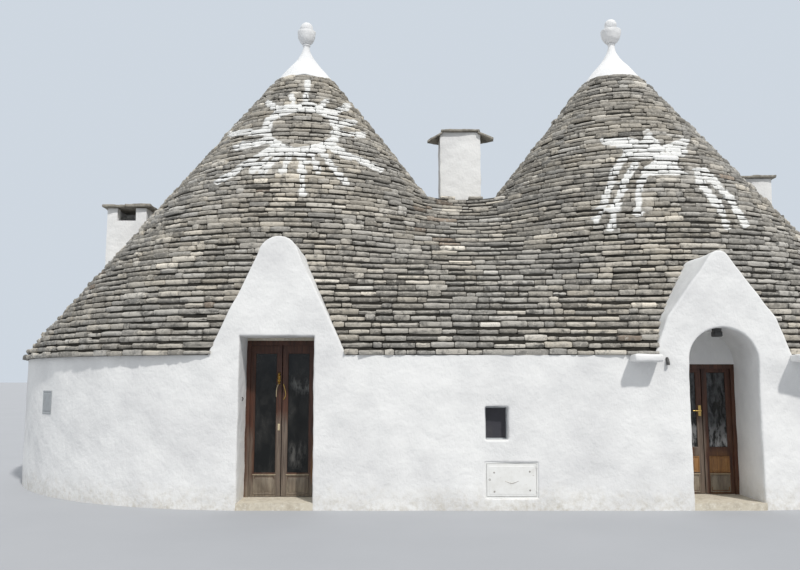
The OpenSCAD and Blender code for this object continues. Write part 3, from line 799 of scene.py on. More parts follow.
@dataclass
class RoofShape:
    """Sizes of both cones and of the hollow valleys that join them."""

    axis: float = 2.93
    foot_z: float = 1.9
    step: float = 0.091
    courses: int = 58
    edge_r: float = 4.6
    top_r: float = 0.545
    gap: float = 0.596
    half: float = 0.38
    set_in: float = 0.07
    fullness: float = 1.3

    def __post_init__(self) -> None:
        """Works out the height of the saddle and its course from the gap."""
        self.top_z = self.foot_z + self.courses * self.step
        self.pitch = (self.top_z - self.foot_z) / (self.edge_r - self.top_r)
        self.saddle_z = self.top_z - (self.axis - self.gap - self.top_r) * self.pitch
        self.saddle_n = int((self.saddle_z - self.foot_z) / self.step)

    def radius(self, z: float) -> float:
        """Radius of a cone at a height, along its straight flank."""
        return self.top_r + (self.top_z - z) / self.pitch

    def hollow(self, z: float) -> tuple[float, float]:
        """Half depth in the middle of the house and radius of the hollow arc.

        Args:
            z: height in metres.

        Returns:
            The half depth w, which falls as a power of the height, and the radius
            (a^2 + w^2 - r^2) / (2 (r - w)) of the arc that touches both cones.
        """
        share = (z - self.foot_z) / (self.saddle_z - self.foot_z)
        waist = (self.edge_r - self.set_in
                 - (self.edge_r - self.set_in - self.half) * share ** self.fullness)
        r = self.radius(z)
        return waist, (self.axis ** 2 + waist ** 2 - r ** 2) / (2 * (r - waist))

    def outlines(self, k: int, spacing: float = 0.02) -> list[Outline]:
        """Outlines of one course as finely divided arcs.

        Args:
            k: number of the course from the eaves.
            spacing: distance between points in metres.

        Returns:
            One outline below the saddle and two above it.
        """
        z = self.foot_z + k * self.step
        r = self.radius(z)
        if k >= self.saddle_n:
            out = ways(full_turn(int(2 * np.pi * r / spacing)))
            return [Outline(out * r + [side * self.axis, 0], out, np.full(len(out), side))
                    for side in (1, -1)]
        waist, f = self.hollow(z)
        lean = math.atan2(waist + f, self.axis)
        arcs = []
        for start, end, centre, bend, side in (
                (lean - np.pi, np.pi - lean, (self.axis, 0.0), r, 1),
                (-lean, lean - np.pi, (0.0, waist + f), -f, 0),
                (lean, 2 * np.pi - lean, (-self.axis, 0.0), r, -1),
                (np.pi - lean, lean, (0.0, -waist - f), -f, 0)):
            out = ways(np.linspace(start, end, max(3, int(abs((end - start) * bend) / spacing)),
                                   endpoint=False))
            arcs.append((out * abs(bend) + centre, out * np.sign(bend),
                         np.full(len(out), side)))
        return [Outline(*map(np.concatenate, zip(*arcs)))]


@dataclass(frozen=True)
class Block:
    """Upright block that the roof leaves room for, with an outline over its half width."""

    x: float
    y: float
    half_y: float
    profile: Profile

    def covers(self, xy: Array, z: float, slack: float) -> Array:
        """Which points of a level lie inside the block.

        Args:
            xy: (n, 2) points.
            z: height of the level.
            slack: room left around the block.

        Returns:
            (n,) truth values.
        """
        heights, halves = np.array(self.profile).T
        if not heights[0] <= z <= heights[-1]:
            return np.zeros(len(xy), bool)
        half = np.interp(z, heights, halves) + slack
        return ((np.abs(xy[:, 0] - self.x) < half)
                & (np.abs(xy[:, 1] - self.y) < self.half_y + slack))


@dataclass
class StoneCourses:
    """Dry-stone slabs laid end to end along every course, on a near-black bed behind them, whose
    colour paints the shade in the gaps between courses.

    A slab is a profile of seven points (depth, height) carried along seven stations of
    the course's outline: P(s, q) = outline(s) + normal(s) * depth(q) + up * height(q).
    """

    shape: RoofShape
    stance: Stance
    blocks: tuple[Block, ...]
    mean_length: float = 0.27
    depth: float = 0.17
    bed_back: float = 0.075
    bed_depth: float = 0.2
    bed_span: float = 0.16
    edge: float = 0.008
    joint: float = 0.008
    room: float = 0.004
    low_tier: int = 16
    stations: tuple[float, ...] = (0, 0, 0.27, 0.5, 0.73, 1, 1)
    end_share: tuple[float, ...] = (1, 0.25, 0, 0, 0, 0.25, 1)
    end_shrink: float = 0.16
    face_z: tuple[float, ...] = (0, 0, 0.22, 0.55, 0.84, 1, 1)
    face_y: tuple[float, ...] = (0, 0, -0.003, 0.002, -0.006, 0, 0)
    rough_y: tuple[float, ...] = (0, 1, 1, 1, 1, 1, 0)
    rough_z: tuple[float, ...] = (0, 0, 0, 0.3, 0.8, 1, 1)
    paved_rows: tuple[float, ...] = (0.47, 0.31, 0.15)
    loose_stones: tuple[Triple, ...] = ((-0.575, 0.1465, -0.284), (-0.575, 0.139, 0.228))
    saddle_bed: Pair = (0.62, 0.5)
    grey: Colour = (0.355, 0.342, 0.316)
    warm: Colour = (0.44, 0.405, 0.345)
    brown: Colour = (0.25, 0.205, 0.165)
    brown_patch: tuple[float, float, float, float] = (442, 222, 15, 20)
    end_quads: tuple[tuple[int, ...], ...] = ((0, 1, 5, 6), (1, 2, 4, 5), (42, 48, 47, 43),
                                              (43, 47, 46, 44))
    end_tris: tuple[tuple[int, ...], ...] = ((2, 3, 4), (44, 46, 45))
    seed: int = 5

    def __post_init__(self) -> None:
        """Starts the draw and the empty piles of slabs."""
        self.draw = np.random.default_rng(self.seed)
        self.piles: dict[str, list[tuple[Array, Array]]] = {}
        self.beds: dict[str, list[Array]] = {}

    def taken(self, xy: Array, z: float) -> Array:
        """Which points of a level lie in or close to a block."""
        return np.any([block.covers(xy, z, self.room) for block in self.blocks], axis=0)

    def lay(self) -> None:
        """Lays the slabs and beds of all the courses, from the eaves to the caps."""
        shape = self.shape
        for k in range(shape.courses):
            z = shape.foot_z + k * shape.step
            for line in shape.outlines(k):
                for start, end in line.free_runs(self.taken(line.xy, z + shape.step / 2)):
                    self.lay_run(k, z, line, start, end)

    def pave(self) -> None:
        """Lays level rows over the saddle and two loose stones at its front edge.

        A row is (y, half length, middle); the paved rows reach from cone to cone.
        """
        shape = self.shape
        z = shape.foot_z + (shape.saddle_n - 1) * shape.step
        rows = [(side * y, shape.axis - math.sqrt(shape.radius(z) ** 2 - y * y), 0.0)
                for side in (-1, 1) for y in self.paved_rows]
        for y, reach, middle in (*rows, *self.loose_stones):
            side = math.copysign(1.0, y)
            xs = middle - side * np.arange(-reach, reach + 0.01, 0.02)
            line = Outline(axes(xs, y), axes(0 * xs, side), 0 * xs)
            level = z + (shape.step * 0.95 if middle else -0.012)
            blocked = self.taken(line.xy, level)
            blocked[[0, -1]] = True
            for start, end in line.free_runs(blocked):
                self.lay_run(shape.saddle_n, level, line, start, end, False)
        # The plate under the saddle's rows joins the left bed, near black as painted shade.
        half_x, half_y = self.saddle_bed
        plate = (np.array([half_y, -half_y, -half_y, half_y]),
                 np.array([z - 0.06, z - 0.06, z + 0.03, z + 0.03]))
        self.beds.setdefault("left_bed", []).append(np.stack(
            [axes(x, *plate) for x in (-half_x, 0.0, half_x)]))

    def lay_run(self, k: int, z: float, line: Outline, start: float, end: float,
                bedded: bool = True) -> None:
        """Lays the slabs and the bed of one free stretch.

        Args:
            k: number of the course.
            z: height of its foot.
            line: its outline.
            start: where the stretch begins.
            end: where it ends.
            bedded: whether a bed, near black as painted shade, lies behind the slabs.
        """
        step, draw = self.shape.step, self.draw
        count = max(1, round((end - start) / self.mean_length))
        share = draw.uniform(0.45, 1.7, count)
        cuts = start + (end - start) * np.concatenate([[0], np.cumsum(share) / share.sum()])
        length = np.diff(cuts)
        trim = np.minimum(0.02, length * 0.12) / length
        t = np.tile(self.stations, (count, 1))
        t[:, 1], t[:, -2] = trim, 1 - trim
        gap = self.joint * draw.uniform(0.3, 1.6, count)
        places = cuts[:-1, None] + gap[:, None] / 2 + t * (length - gap)[:, None]
        low = draw.uniform(0.0, 0.12, count) * step
        high = low + draw.uniform(0.50, 0.80, count) * step
        proud = draw.normal(0.004, 0.012, count).clip(-0.022, 0.03 if k else 0.0)
        self.pile(k, z, line, places, low, high, proud)
        if bedded:
            spans = max(1, round((end - start) / self.bed_span))
            self.bed(z, line, np.linspace(start, end, spans + 1))

    def pile(self, k: int, z: float, line: Outline, places: Array, low: Array, high: Array,
             proud: Array) -> None:
        """Works out the slabs' vertices and puts them on the piles of their parts.

        Args:
            k: number of the course.
            z: height of its foot.
            line: its outline.
            places: (count, 7) distances of the slabs' stations along it.
            low: heights of the undersides above z.
            high: heights of the tops above z.
            proud: how far the faces stand out.
        """
        count, draw = len(places), self.draw
        base, normal = line.at(places)
        ends = np.array(self.end_share)[:, None]
        edge = self.edge * draw.uniform(0.7, 1.5, (count, 1))
        back = -self.depth * draw.uniform(0.85, 1.0, (count, 1))
        heights = low[:, None] + np.array(self.face_z) * (high - low)[:, None]
        depths = np.tile(self.face_y, (count, 1))
        depths[:, [0, -1]] = back
        depths[:, [1, -2]] = -edge * [1.0, 1.7]
        lift = draw.normal(0, 0.0025, (count, 7, 1)) + draw.normal(0, 0.003, (count, 1, 1))
        skew = draw.normal(0, 0.007, (count, 1)) * np.linspace(-1, 1, 7)
        rough = draw.normal(0, 0.0035, (count, 7, 7)) + draw.normal(0, 0.005, (count, 7, 1))
        uneven = proud[:, None, None] + skew[:, :, None] + rough - ends * edge[:, :, None]
        deep = depths[:, None, :] + np.array(self.rough_y) * uneven
        middle = (low + high)[:, None, None] / 2
        tall = heights[:, None, :] + np.array(self.rough_z) * lift
        tall = middle + (tall - middle) * (1 - self.end_shrink * ends)
        if k == 0:
            deep = np.minimum(deep, 0.0)
        xy = base[:, :, None, :] + normal[:, :, None, :] * deep[..., None]
        points = np.concatenate([xy, (z + np.maximum(tall, 0.0))[..., None]], axis=-1)
        for name, chosen in self.sorting(k, line.part_at(places[:, 3]), points[:, 3, 3, 1]):
            if chosen.any():
                self.piles.setdefault(name, []).append(
                    (points[chosen], self.stone_colours(points[chosen])))

    def sorting(self, k: int, part: Array, y: Array) -> list[tuple[str, Array]]:
        """Names of the piles and which slabs belong on them, by part and height."""
        tier = "low" if k < self.low_tier else "high"
        return [(f"left_stones_{tier}", part == -1), (f"right_stones_{tier}", part == 1),
                ("front_valley_stones", (part == 0) & (y < 0)),
                ("back_valley_stones", (part == 0) & (y >= 0))]

    def bed(self, z: float, line: Outline, places: Array) -> None:
        """Adds the bed of one stretch: a closed bar set back behind the slabs, near black as
        painted shade.

        Args:
            z: height of its foot.
            line: outline of the course.
            places: distances along it.
        """
        near, far = -self.bed_back, -self.bed_back - self.bed_depth
        corner = np.array([[far, 0.0], [near, 0.0], [near, self.shape.step],
                           [far, self.shape.step]])
        xy, out = line.at(places)
        flat = xy[:, None, :] + out[:, None, :] * corner[None, :, :1]
        tall = np.broadcast_to(z + corner[None, :, 1:], (*flat.shape[:2], 1))
        side = line.part_at(places.mean()) or xy[:, 0].mean()
        self.beds.setdefault("right_bed" if side > 0 else "left_bed", []).append(
            np.concatenate([flat, tall], axis=-1))

    def stone_colours(self, points: Array) -> Array:
        """Colour of each slab, and how much lime lies on each of its vertices.

        Args:
            points: (count, 7, 7, 3) vertices.

        Returns:
            (count, 7, 7, 4) values: a grey to beige stone, and the lime in the last.
        """
        draw, count = self.draw, len(points)
        middle = points[:, 3, 3]
        tone = draw.normal(0, 1, count)
        warmth = (0.45 + 0.35 * Swell(1, 0.8, 4.0, 21).at(middle)
                  + 0.3 * draw.normal(0, 1, count)).clip(0, 1)
        grey, warm = np.array(self.grey), np.array(self.warm)
        colour = grey + (warm - grey) * warmth[:, None]
        across, down = self.stance.project(middle)
        x, y, half_x, half_y = self.brown_patch
        patch = np.exp(-((across - x) / half_x) ** 2 - ((down - y) / half_y) ** 2)
        patch = patch * (middle[:, 1] < 0) + 0.012
        is_brown = draw.uniform(0, 1, count) < patch * 0.5
        colour = np.where(is_brown[:, None], self.brown, colour)
        colour = colour * np.exp(0.26 * tone)[:, None]
        full = np.empty((*points.shape[:3], 4))
        full[..., :3] = colour[:, None, None, :]
        full[..., 3] = self.lime_on(points)
        return full

    def lime_on(self, points: Array) -> Array:
        """Share of painted lime on each vertex: 1 inside a sign, 0 well outside it.

        Args:
            points: (..., 3) vertices.

        Returns:
            (...) shares.
        """
        across, down = self.stance.project(points)
        wobble = 1.1 * Swell(1, 0.12, 0.5, 31).at(points)
        return PaintedSigns().lime(across, down, wobble) * (points[..., 1] < -0.05)

    def build(self) -> None:
        """Lays everything and turns it into pieces, which stand for the roof's nodes."""
        self.lay()
        self.pave()
        faces = np.concatenate([lattice(7, 7, wrap_columns=True), self.end_quads])
        stands_for = {"left_bed": ("left_roof",), "right_bed": ("right_roof",),
                      "front_valley_stones": ("front_valley", "saddle"),
                      "back_valley_stones": ("back_valley",)}
        for name, heap in self.piles.items():
            points, tints = (np.concatenate(column) for column in zip(*heap))
            shift = np.arange(len(points))[:, None, None] * 49
            form = (points.reshape(-1, 3), (faces + shift).reshape(-1, 4),
                    (np.array(self.end_tris) + shift).reshape(-1, 3))
            piece = settle(name, form, "roof_stone", *stands_for.get(name, ()), angle=52)
            set_tint(piece, tints.reshape(-1, 4))
        for name, bars in self.beds.items():
            parts = []
            for bar in bars:
                last = 4 * (len(bar) - 1)
                caps = [[0, 1, 2, 3], [last, last + 3, last + 2, last + 1]]
                parts.append((bar.reshape(-1, 3), np.concatenate(
                    [lattice(len(bar), 4, wrap_columns=True), caps])))
            # The beds' near-black finish is painted shade in the gaps between the courses.
            settle(name, joined(parts), "roof_stone", *stands_for[name], finish="roof_bed_painted_shade",
                   angle=40)


@dataclass(frozen=True)
class PaintedSigns:
    """Sun on the left cone and star with five points and tails on the right one.

    The sun is an oval ring with rays brushed outward from it. All the places are picture
    coordinates of the stance, in which `room` is the distance inside a shape's edge.
    """

    sun: Pair = (301.8, 129.4)
    outer: Pair = (38.5, 27)
    inner: Pair = (30.5, 17.4)
    roots: Pair = (35, 23)
    ray_half: float = 3.0
    tail_half: float = 3.7
    rays: Profile = (
        (307.4, 81.6), (292, 97), (267.9, 102), (326.5, 100.8), (348.2, 105.9),
        (354.6, 122.4), (363.5, 135.2), (380, 171), (349.5, 158.2), (345.7, 182.4),
        (318.9, 172.2), (302.3, 193.9), (283, 171), (261.5, 173.5), (251.3, 171),
        (218, 182.4), (236, 148), (230.9, 133.9))
    star: Profile = (
        (643.5, 129), (648.5, 129), (652, 136), (657, 142.5), (662, 145.5), (668, 144),
        (677, 138.8), (690, 139.5), (687, 148), (685.5, 156.5), (677.5, 158.5),
        (676.8, 165.5), (682, 170), (694, 175), (664, 175.2), (643, 174.8), (643, 168),
        (649, 163.5), (654, 159), (642, 158.3), (624.5, 158.8), (621.5, 154.5),
        (622.5, 149.5), (611.5, 145.3), (601.5, 143), (597.5, 137.2), (612, 136.8),
        (631, 137.2), (641, 141.3), (644, 137), (643.5, 129))
    tails: tuple[Profile, ...] = (
        ((627, 154), (615, 170), (609.5, 188.5), (602, 207), (596.5, 220)),
        ((636, 164), (622.5, 185.3), (620.4, 194), (616, 204.8), (610.5, 228)),
        ((644, 174), (640, 188), (637.7, 213.5)),
        ((697, 171), (702.8, 187.4), (713.6, 198.3), (722.3, 213.5), (726.7, 226.5)),
        ((703.9, 170), (718, 185.3), (731, 200.4), (745, 224)))

    def lime(self, across: Array, down: Array, wobble: Array) -> Array:
        """Share of painted lime, eased over about one unit at every edge.

        Args:
            across: picture coordinates.
            down: picture coordinates.
            wobble: unevenness of the edges.

        Returns:
            (room + wobble) / 1.6 + 0.5, held between 0 and 1.
        """
        x0, y0 = self.sun
        x, y = across - x0, down - y0
        room = np.minimum((1 - np.hypot(x / self.outer[0], y / self.outer[1])) * 30,
                          (np.hypot(x / self.inner[0], y / self.inner[1]) - 1) * 22)
        for tip in self.rays:
            dx, dy = tip[0] - x0, tip[1] - y0
            start = 1 / math.hypot(dx / self.roots[0], dy / self.roots[1])
            ray = ((x0 + dx * start, y0 + dy * start), tip)
            room = np.maximum(room, self.line_room(across, down, ray, self.ray_half))
        inside = np.zeros(across.shape, bool)
        for (x0, y0), (x1, y1) in zip(self.star, self.star[1:]):
            if y0 != y1:
                crosses = (down < y0) != (down < y1)
                inside ^= crosses & (across < x0 + (down - y0) * (x1 - x0) / (y1 - y0))
        border = -self.line_room(across, down, self.star, 0.0)
        room = np.maximum(room, np.where(inside, border, -border))
        for tail in self.tails:
            room = np.maximum(room, self.line_room(across, down, tail, self.tail_half))
        return (0.5 + (room + wobble) / 1.6).clip(0, 1)

    def line_room(self, across: Array, down: Array, line: Profile, half: float) -> Array:
        """Room inside a brushed line: its half width less the distance to it.

        Args:
            across: picture coordinates.
            down: picture coordinates.
            line: corners of the line.
            half: half width of the brush.

        Returns:
            Positive inside the line.
        """
        best = np.full(across.shape, -1e9)
        for (x0, y0), (x1, y1) in zip(line, line[1:]):
            dx, dy = x1 - x0, y1 - y0
            t = (((across - x0) * dx + (down - y0) * dy) / (dx * dx + dy * dy)).clip(0, 1)
            best = np.maximum(best, half - np.hypot(across - x0 - t * dx, down - y0 - t * dy))
        return best


# Part: plaster


@dataclass
class Skin:
    """Patches of plaster that lie a little proud of the masonry and share its swell.

    A vertex lies at base + normal * (proud + swell(base)), thinner near `thin_at`.
    """

    proud: float = 0.012
    thick: float = 0.02
    swell: Swell = PLASTER_SWELL
    thin_at: Triple = (0.0, 0.0, -9.0)
    thin_reach: float = 0.3
    thinned: float = 0.8
    patches: list[tuple[Array, Array]] = field(default_factory=list)

    def add(self, base: Array, normal: Array, wrap: bool = False,
            keep: Array | None = None) -> None:
        """Adds one patch, with its faces turned to the side of its normals.

        Args:
            base: (rows, columns, 3) places on the masonry.
            normal: (rows, columns, 3) directions away from it.
            wrap: whether the last column joins the first.
            keep: truth value of each face, or None for all.
        """
        quads = lattice(*base.shape[:2], wrap_columns=wrap)
        if keep is not None:
            quads = quads[keep.ravel()]
        flat, away = base.reshape(-1, 3), normal.reshape(-1, 3)
        if (face_normals(flat, quads) * away[quads[:, 0]]).sum() < 0:
            quads = quads[:, ::-1]
        self.patches.append((np.concatenate([flat, away], axis=1), quads))

    def shell(self) -> tuple[Array, Array]:
        """All the patches as one closed shell.

        Returns:
            Its vertices and quads.
        """
        both, quads = welded(self.patches)
        base = both[:, :3]
        far = np.linalg.norm(base - self.thin_at, axis=1) / self.thin_reach
        lift = (self.proud + self.swell.at(base)) * (1 - self.thinned * np.exp(-far ** 2))
        return closed_shell(base + as_unit(both[:, 3:]) * lift[:, None], quads, self.thick)


@dataclass
class WallPlaster:
    """Lime plaster on the walls and the gabled fronts, soft at every edge and opening.

    The front is a face y(x, z): flat between the axes, round beyond them, and brought
    forward again under a gable that is wider than the flat part.
    """

    axis: float = 2.93
    radius: float = 4.5
    inset: float = 0.014
    spacing: float = 0.045
    round_spacing: float = 0.07
    left: float = -2.68
    left_half: float = 0.86
    left_door_half: float = 0.48
    left_head: float = 2.15
    left_back: float = -3.995
    right: float = 2.93
    right_half: float = 0.85
    right_door_half: float = 0.45
    springing: float = 1.81
    right_back: float = -3.745
    gable_back: float = -3.40
    forward_from: float = 1.45
    forward_to: float = 1.88
    forward_side: float = 0.3
    bay: Pair = (-0.22, 0.71)
    levels: tuple[float, ...] = (0.0, 0.06, 0.71, 1.40, 1.9)
    hatch_corner: float = 0.012
    hatch_back: float = -4.47
    window_corner: float = 0.035
    window_back: float = -4.375
    head_corner: float = 0.035
    outline_corner: float = 0.03
    cover_turn: float = 225.0
    cover_z: float = 1.275
    window: tuple[Pair, Pair] = ((-0.08, 0.84), (0.23, 1.27))
    hatch: tuple[Pair, Pair] = ((-0.09, 0.14), (0.58, 0.59))
    crown_points: int = 70
    left_outline: Profile = (
        (0.86, 1.9), (0.2462, 3.2034), (0.2317, 3.254), (0.2165, 3.285), (0.1915, 3.321),
        (0.1607, 3.3515), (0.125, 3.3765), (0.0855, 3.3949), (0.0434, 3.406), (0.0, 3.41))
    right_outline: Profile = (
        (0.85, 1.9), (0.67, 2.38), (0.1016, 3.1711), (0.0837, 3.1895), (0.0589, 3.2059),
        (0.0305, 3.2164), (0.0, 3.22))

    def forward(self, plan: Array, out: Array, z: Array) -> tuple[Array, Array]:
        """Places and normals of the masonry, brought forward under the gables.

        Args:
            plan: (..., 2) places on the plan's outline.
            out: (..., 2) outward normals.
            z: (...) heights.

        Returns:
            y moves by -(radius + y) * f, in which f eases from 0 to 1 with the height and
            back to 0 beside a gable; the normal turns to the front by the same share.
        """
        x, y = plan[..., 0], plan[..., 1]
        middle = np.where(x < 0, self.left, self.right)
        half = np.where(x < 0, self.left_half, self.right_half)
        rise = eased((z - self.forward_from) / (self.forward_to - self.forward_from))
        share = rise * (1 - eased((np.abs(x - middle) - half) / self.forward_side)) * (y < 0)
        normal = axes(out[..., 0] * (1 - share), out[..., 1] * (1 - share) - share, 0 * z)
        return axes(x, y - (self.radius + y) * share, z), as_unit(normal)

    def face(self, x: Array, z: Array) -> tuple[Array, Array]:
        """Places and normals of the front.

        Args:
            x: places across.
            z: heights, of the same shape.

        Returns:
            (..., 3) places and normals; y is -sqrt(radius^2 - over^2), in which over is
            how far x lies beyond an axis.
        """
        over = np.sign(x) * np.maximum(np.abs(x) - self.axis, 0.0)
        y = -np.sqrt(self.radius ** 2 - over ** 2)
        return self.forward(axes(x, y), axes(over, y) / self.radius, z)

    def ruled(self, skin: Skin, inner: Array, outer: Array, rows: int,
              wrap: bool = False) -> None:
        """Adds the face between two lines: inner + (outer - inner) * share.

        Args:
            skin: the skin that gets it.
            inner: (n, 2) x and z of the first line.
            outer: (n, 2) x and z of the last line.
            rows: number of lines.
            wrap: whether the lines are closed.
        """
        share = np.linspace(0, 1, rows)[:, None, None]
        grid = inner + (outer - inner) * share
        skin.add(*self.face(grid[..., 0], grid[..., 1]), wrap=wrap)

    def edge(self, skin: Skin, line: Array, ahead: Array, back: float,
             wrap: bool = False) -> None:
        """Rounds the plaster over an edge and carries it straight back from there.

        Args:
            skin: the skin that gets the strip.
            line: (n, 2) the edge in x and z.
            ahead: (n, 2) direction across the edge, away from the face.
            back: y at which the strip ends.
            wrap: whether the line is closed.
        """
        near = line - ahead * self.inset
        base, out = self.face(near[:, 0], near[:, 1])
        over = axes(ahead[:, 0], 0.0, ahead[:, 1])
        turn = np.linspace(0, np.pi / 2, 6)[:, None, None]
        bend = out * np.cos(turn) + over * np.sin(turn)
        arc = base - out * self.inset + self.inset * bend
        steps = max(2, round((back - arc[-1, 0, 1]) / 0.06))
        share = np.linspace(0, 1, steps + 1)[1:, None]
        straight = np.repeat(arc[-1:], steps, axis=0)
        straight[..., 1] += (back - straight[..., 1]) * share
        skin.add(np.concatenate([arc, straight]),
                 np.concatenate([bend, np.broadcast_to(over, straight.shape)]), wrap=wrap)

    def gable(self, skin: Skin, middle: float, half: float, opening: tuple[Array, Array],
              outline: Profile, back: float, zs: Array) -> None:
        """Adds one gabled front from its doorway to its outline, with both edges.

        Args:
            skin: the skin that gets the patches.
            middle: x of the gable's middle.
            half: half width at the foot.
            opening: the doorway's line and the directions into it, about the middle.
            outline: right half of the outline, from the wall's top to the apex.
            back: y at which the reveal ends.
            zs: heights of the wall's lines.
        """
        shift = np.array([middle, 0.0])
        corners = np.array(outline)
        corners = np.concatenate([corners * [-1, 1], corners[-2::-1]])
        crown, tangent = soft_line(corners, self.crown_points + 2, self.outline_corner)
        ahead = tangent[:, ::-1] * [-1, 1]
        outer = np.concatenate([axes(-half, zs), (crown - ahead * self.inset)[1:-1],
                                axes(half, zs[::-1])])
        line, into = opening
        self.ruled(skin, line - into * self.inset + shift, outer + shift, 25)
        self.edge(skin, line + shift, into, back)
        self.edge(skin, crown + shift, ahead, self.gable_back)

    def left_opening(self, zs: Array) -> tuple[Array, Array]:
        """Line of the left doorway, up one jamb, along the level head and down again.

        Args:
            zs: heights of the jambs' points.

        Returns:
            The line and the directions into the doorway.
        """
        half, head = self.left_door_half, self.left_head
        corners = np.array([[-half, zs[-1]], [-half, head], [half, head], [half, zs[-1]]])
        crown, tangent = soft_line(corners, self.crown_points + 2, self.head_corner)
        return self.with_jambs(half, zs, crown, tangent[:, ::-1] * [1, -1])

    def right_opening(self, zs: Array) -> tuple[Array, Array]:
        """Line of the right doorway, up one jamb, round the arch and down again.

        Args:
            zs: heights of the wall's lines, which are shrunk to the springing.

        Returns:
            The line and the directions into the doorway.
        """
        out = ways(np.linspace(np.pi, 0, self.crown_points + 2))
        return self.with_jambs(self.right_door_half, zs * self.springing / zs[-1],
                               out * self.right_door_half + [0, self.springing], -out)

    def with_jambs(self, half: float, zs: Array, crown: Array,
                   into: Array) -> tuple[Array, Array]:
        """Joins a doorway's crown to its two jambs.

        Args:
            half: half width of the doorway.
            zs: heights of the jambs' points.
            crown: line from jamb to jamb.
            into: directions into the doorway there.

        Returns:
            The whole line and its directions into the doorway.
        """
        across = axes(1.0, 0 * zs)
        return (np.concatenate([axes(-half, zs), crown[1:-1], axes(half, zs[::-1])]),
                np.concatenate([across, into[1:-1], -across]))

    def hole(self, skin: Skin, xs: Array, zs: Array,
             opening: tuple[Pair, Pair], corner: float, back: float) -> None:
        """Adds the face around one opening of the bay and the opening's reveal.

        Args:
            skin: the skin that gets them.
            xs: upright lines of the bay.
            zs: level lines of this part of it.
            opening: its lower left and upper right corner.
            corner: radius of its corners.
            back: y at which the reveal ends.
        """
        outer = around(xs, zs)
        first, last = outer.min(axis=0), outer.max(axis=0)
        line, out = rounded_frame((outer - first) / (last - first) * 2 - 1,
                                  *centred(*opening), corner)
        self.ruled(skin, line + out * self.inset, outer, 13, wrap=True)
        self.edge(skin, line, -out, back, wrap=True)

    def sheet(self, skin: Skin, xs: Array, zs: Array) -> None:
        """Adds a plain stretch of the front between given lines."""
        skin.add(*self.face(*np.meshgrid(xs, zs)))

    def band(self, skin: Skin, zs: Array) -> None:
        """Adds the round ends and the back, carried along the plan's outline.

        Args:
            skin: the skin that gets the patch.
            zs: level lines.
        """
        east = math.asin((self.right + self.right_half - self.axis) / self.radius)
        west = math.asin((self.left_half - self.left - self.axis) / self.radius)
        step = self.round_spacing / self.radius
        turns = (spread((east, math.pi), step), spread((math.pi, 2 * math.pi - west), step))
        ends = [axes(np.sin(turn), -np.cos(turn)) for turn in turns]
        xs = spread((self.axis, -self.axis), self.round_spacing)[1:-1]
        out = np.concatenate([ends[0], axes(0 * xs, 1.0), ends[1]])
        plan = np.concatenate([ends[0] * self.radius + [self.axis, 0], axes(xs, self.radius),
                               ends[1] * self.radius - [self.axis, 0]])
        skin.add(*self.forward(np.tile(plan, (len(zs), 1, 1)), np.tile(out, (len(zs), 1, 1)),
                               np.tile(zs[:, None], len(plan))))

    def build(self) -> None:
        """Builds the whole coat as one closed shell."""
        turn = math.radians(self.cover_turn)
        skin = Skin(thin_at=(self.radius * math.cos(turn) - self.axis,
                             self.radius * math.sin(turn), self.cover_z))
        zs = spread(self.levels, self.spacing)
        self.gable(skin, self.left, self.left_half, self.left_opening(zs),
                   self.left_outline, self.left_back, zs)
        self.gable(skin, self.right, self.right_half, self.right_opening(zs),
                   self.right_outline, self.right_back, zs)
        bay = spread(self.bay, self.spacing)
        for stops in ((self.left + self.left_half, self.bay[0]),
                      (self.bay[1], self.right - self.right_half)):
            self.sheet(skin, spread(stops, self.spacing), zs)
        foot, low, high, top = (zs[(zs >= a - 1e-9) & (zs <= b + 1e-9)]
                                for a, b in zip(self.levels, self.levels[1:]))
        self.sheet(skin, bay, foot)
        self.sheet(skin, bay, top)
        self.hole(skin, bay, low, self.hatch, self.hatch_corner, self.hatch_back)
        self.hole(skin, bay, high, self.window, self.window_corner, self.window_back)
        self.band(skin, zs)
        settle("wall_plaster", skin.shell(), "whitewash")


@dataclass(frozen=True)
class Shaft:
    """Plastered chimney shaft, open under its cover towards one side."""

    name: str
    x: float
    y: float
    width: float
    depth: float
    foot: float
    top: float
    outlet: Facing
    outlet_w: float = 0.35
    outlet_h: float = 0.24
    corner: float = 0.014
    spacing: float = 0.05
    seed: int = 3

    def block(self) -> Block:
        """Room that the roof's slabs leave for the shaft."""
        half = self.width / 2
        return Block(self.x, self.y, self.depth / 2, ((self.foot, half), (9, half)))

    def build(self) -> None:
        """Carries the rounded outline of the shaft up its height, less the outlet."""
        half = np.array([self.width, self.depth]) / 2
        gap = self.outlet_w / 2
        line = around(spread((-half[0], -gap, gap, half[0]), self.spacing),
                      spread((-half[1], half[1]), self.spacing))
        plan, out = rounded_frame(line / half, (self.x, self.y), half, self.corner)
        zs = spread((self.foot, self.top - self.outlet_h, self.top), self.spacing)
        grid = np.tile(plan, (len(zs), 1, 1)), np.tile(out, (len(zs), 1, 1))
        base, normal = (np.dstack([flat, np.tile(third[:, None], len(plan))])
                        for flat, third in zip(grid, (zs, 0 * zs)))
        middle = (plan + np.roll(plan, -1, axis=0)) / 2 - [self.x, self.y]
        gone = ((np.abs(middle[:, 0]) < gap)
                & (middle[:, 1] * self.outlet.value > half[1] * 0.9))
        high = (zs[:-1] + zs[1:]) / 2 > self.top - self.outlet_h
        skin = Skin(proud=0.010, swell=Swell(0.005, 0.12, 0.6, self.seed))
        skin.add(base, normal, wrap=True, keep=~(high[:, None] & gone[None, :]))
        settle(self.name, skin.shell(), "whitewash")


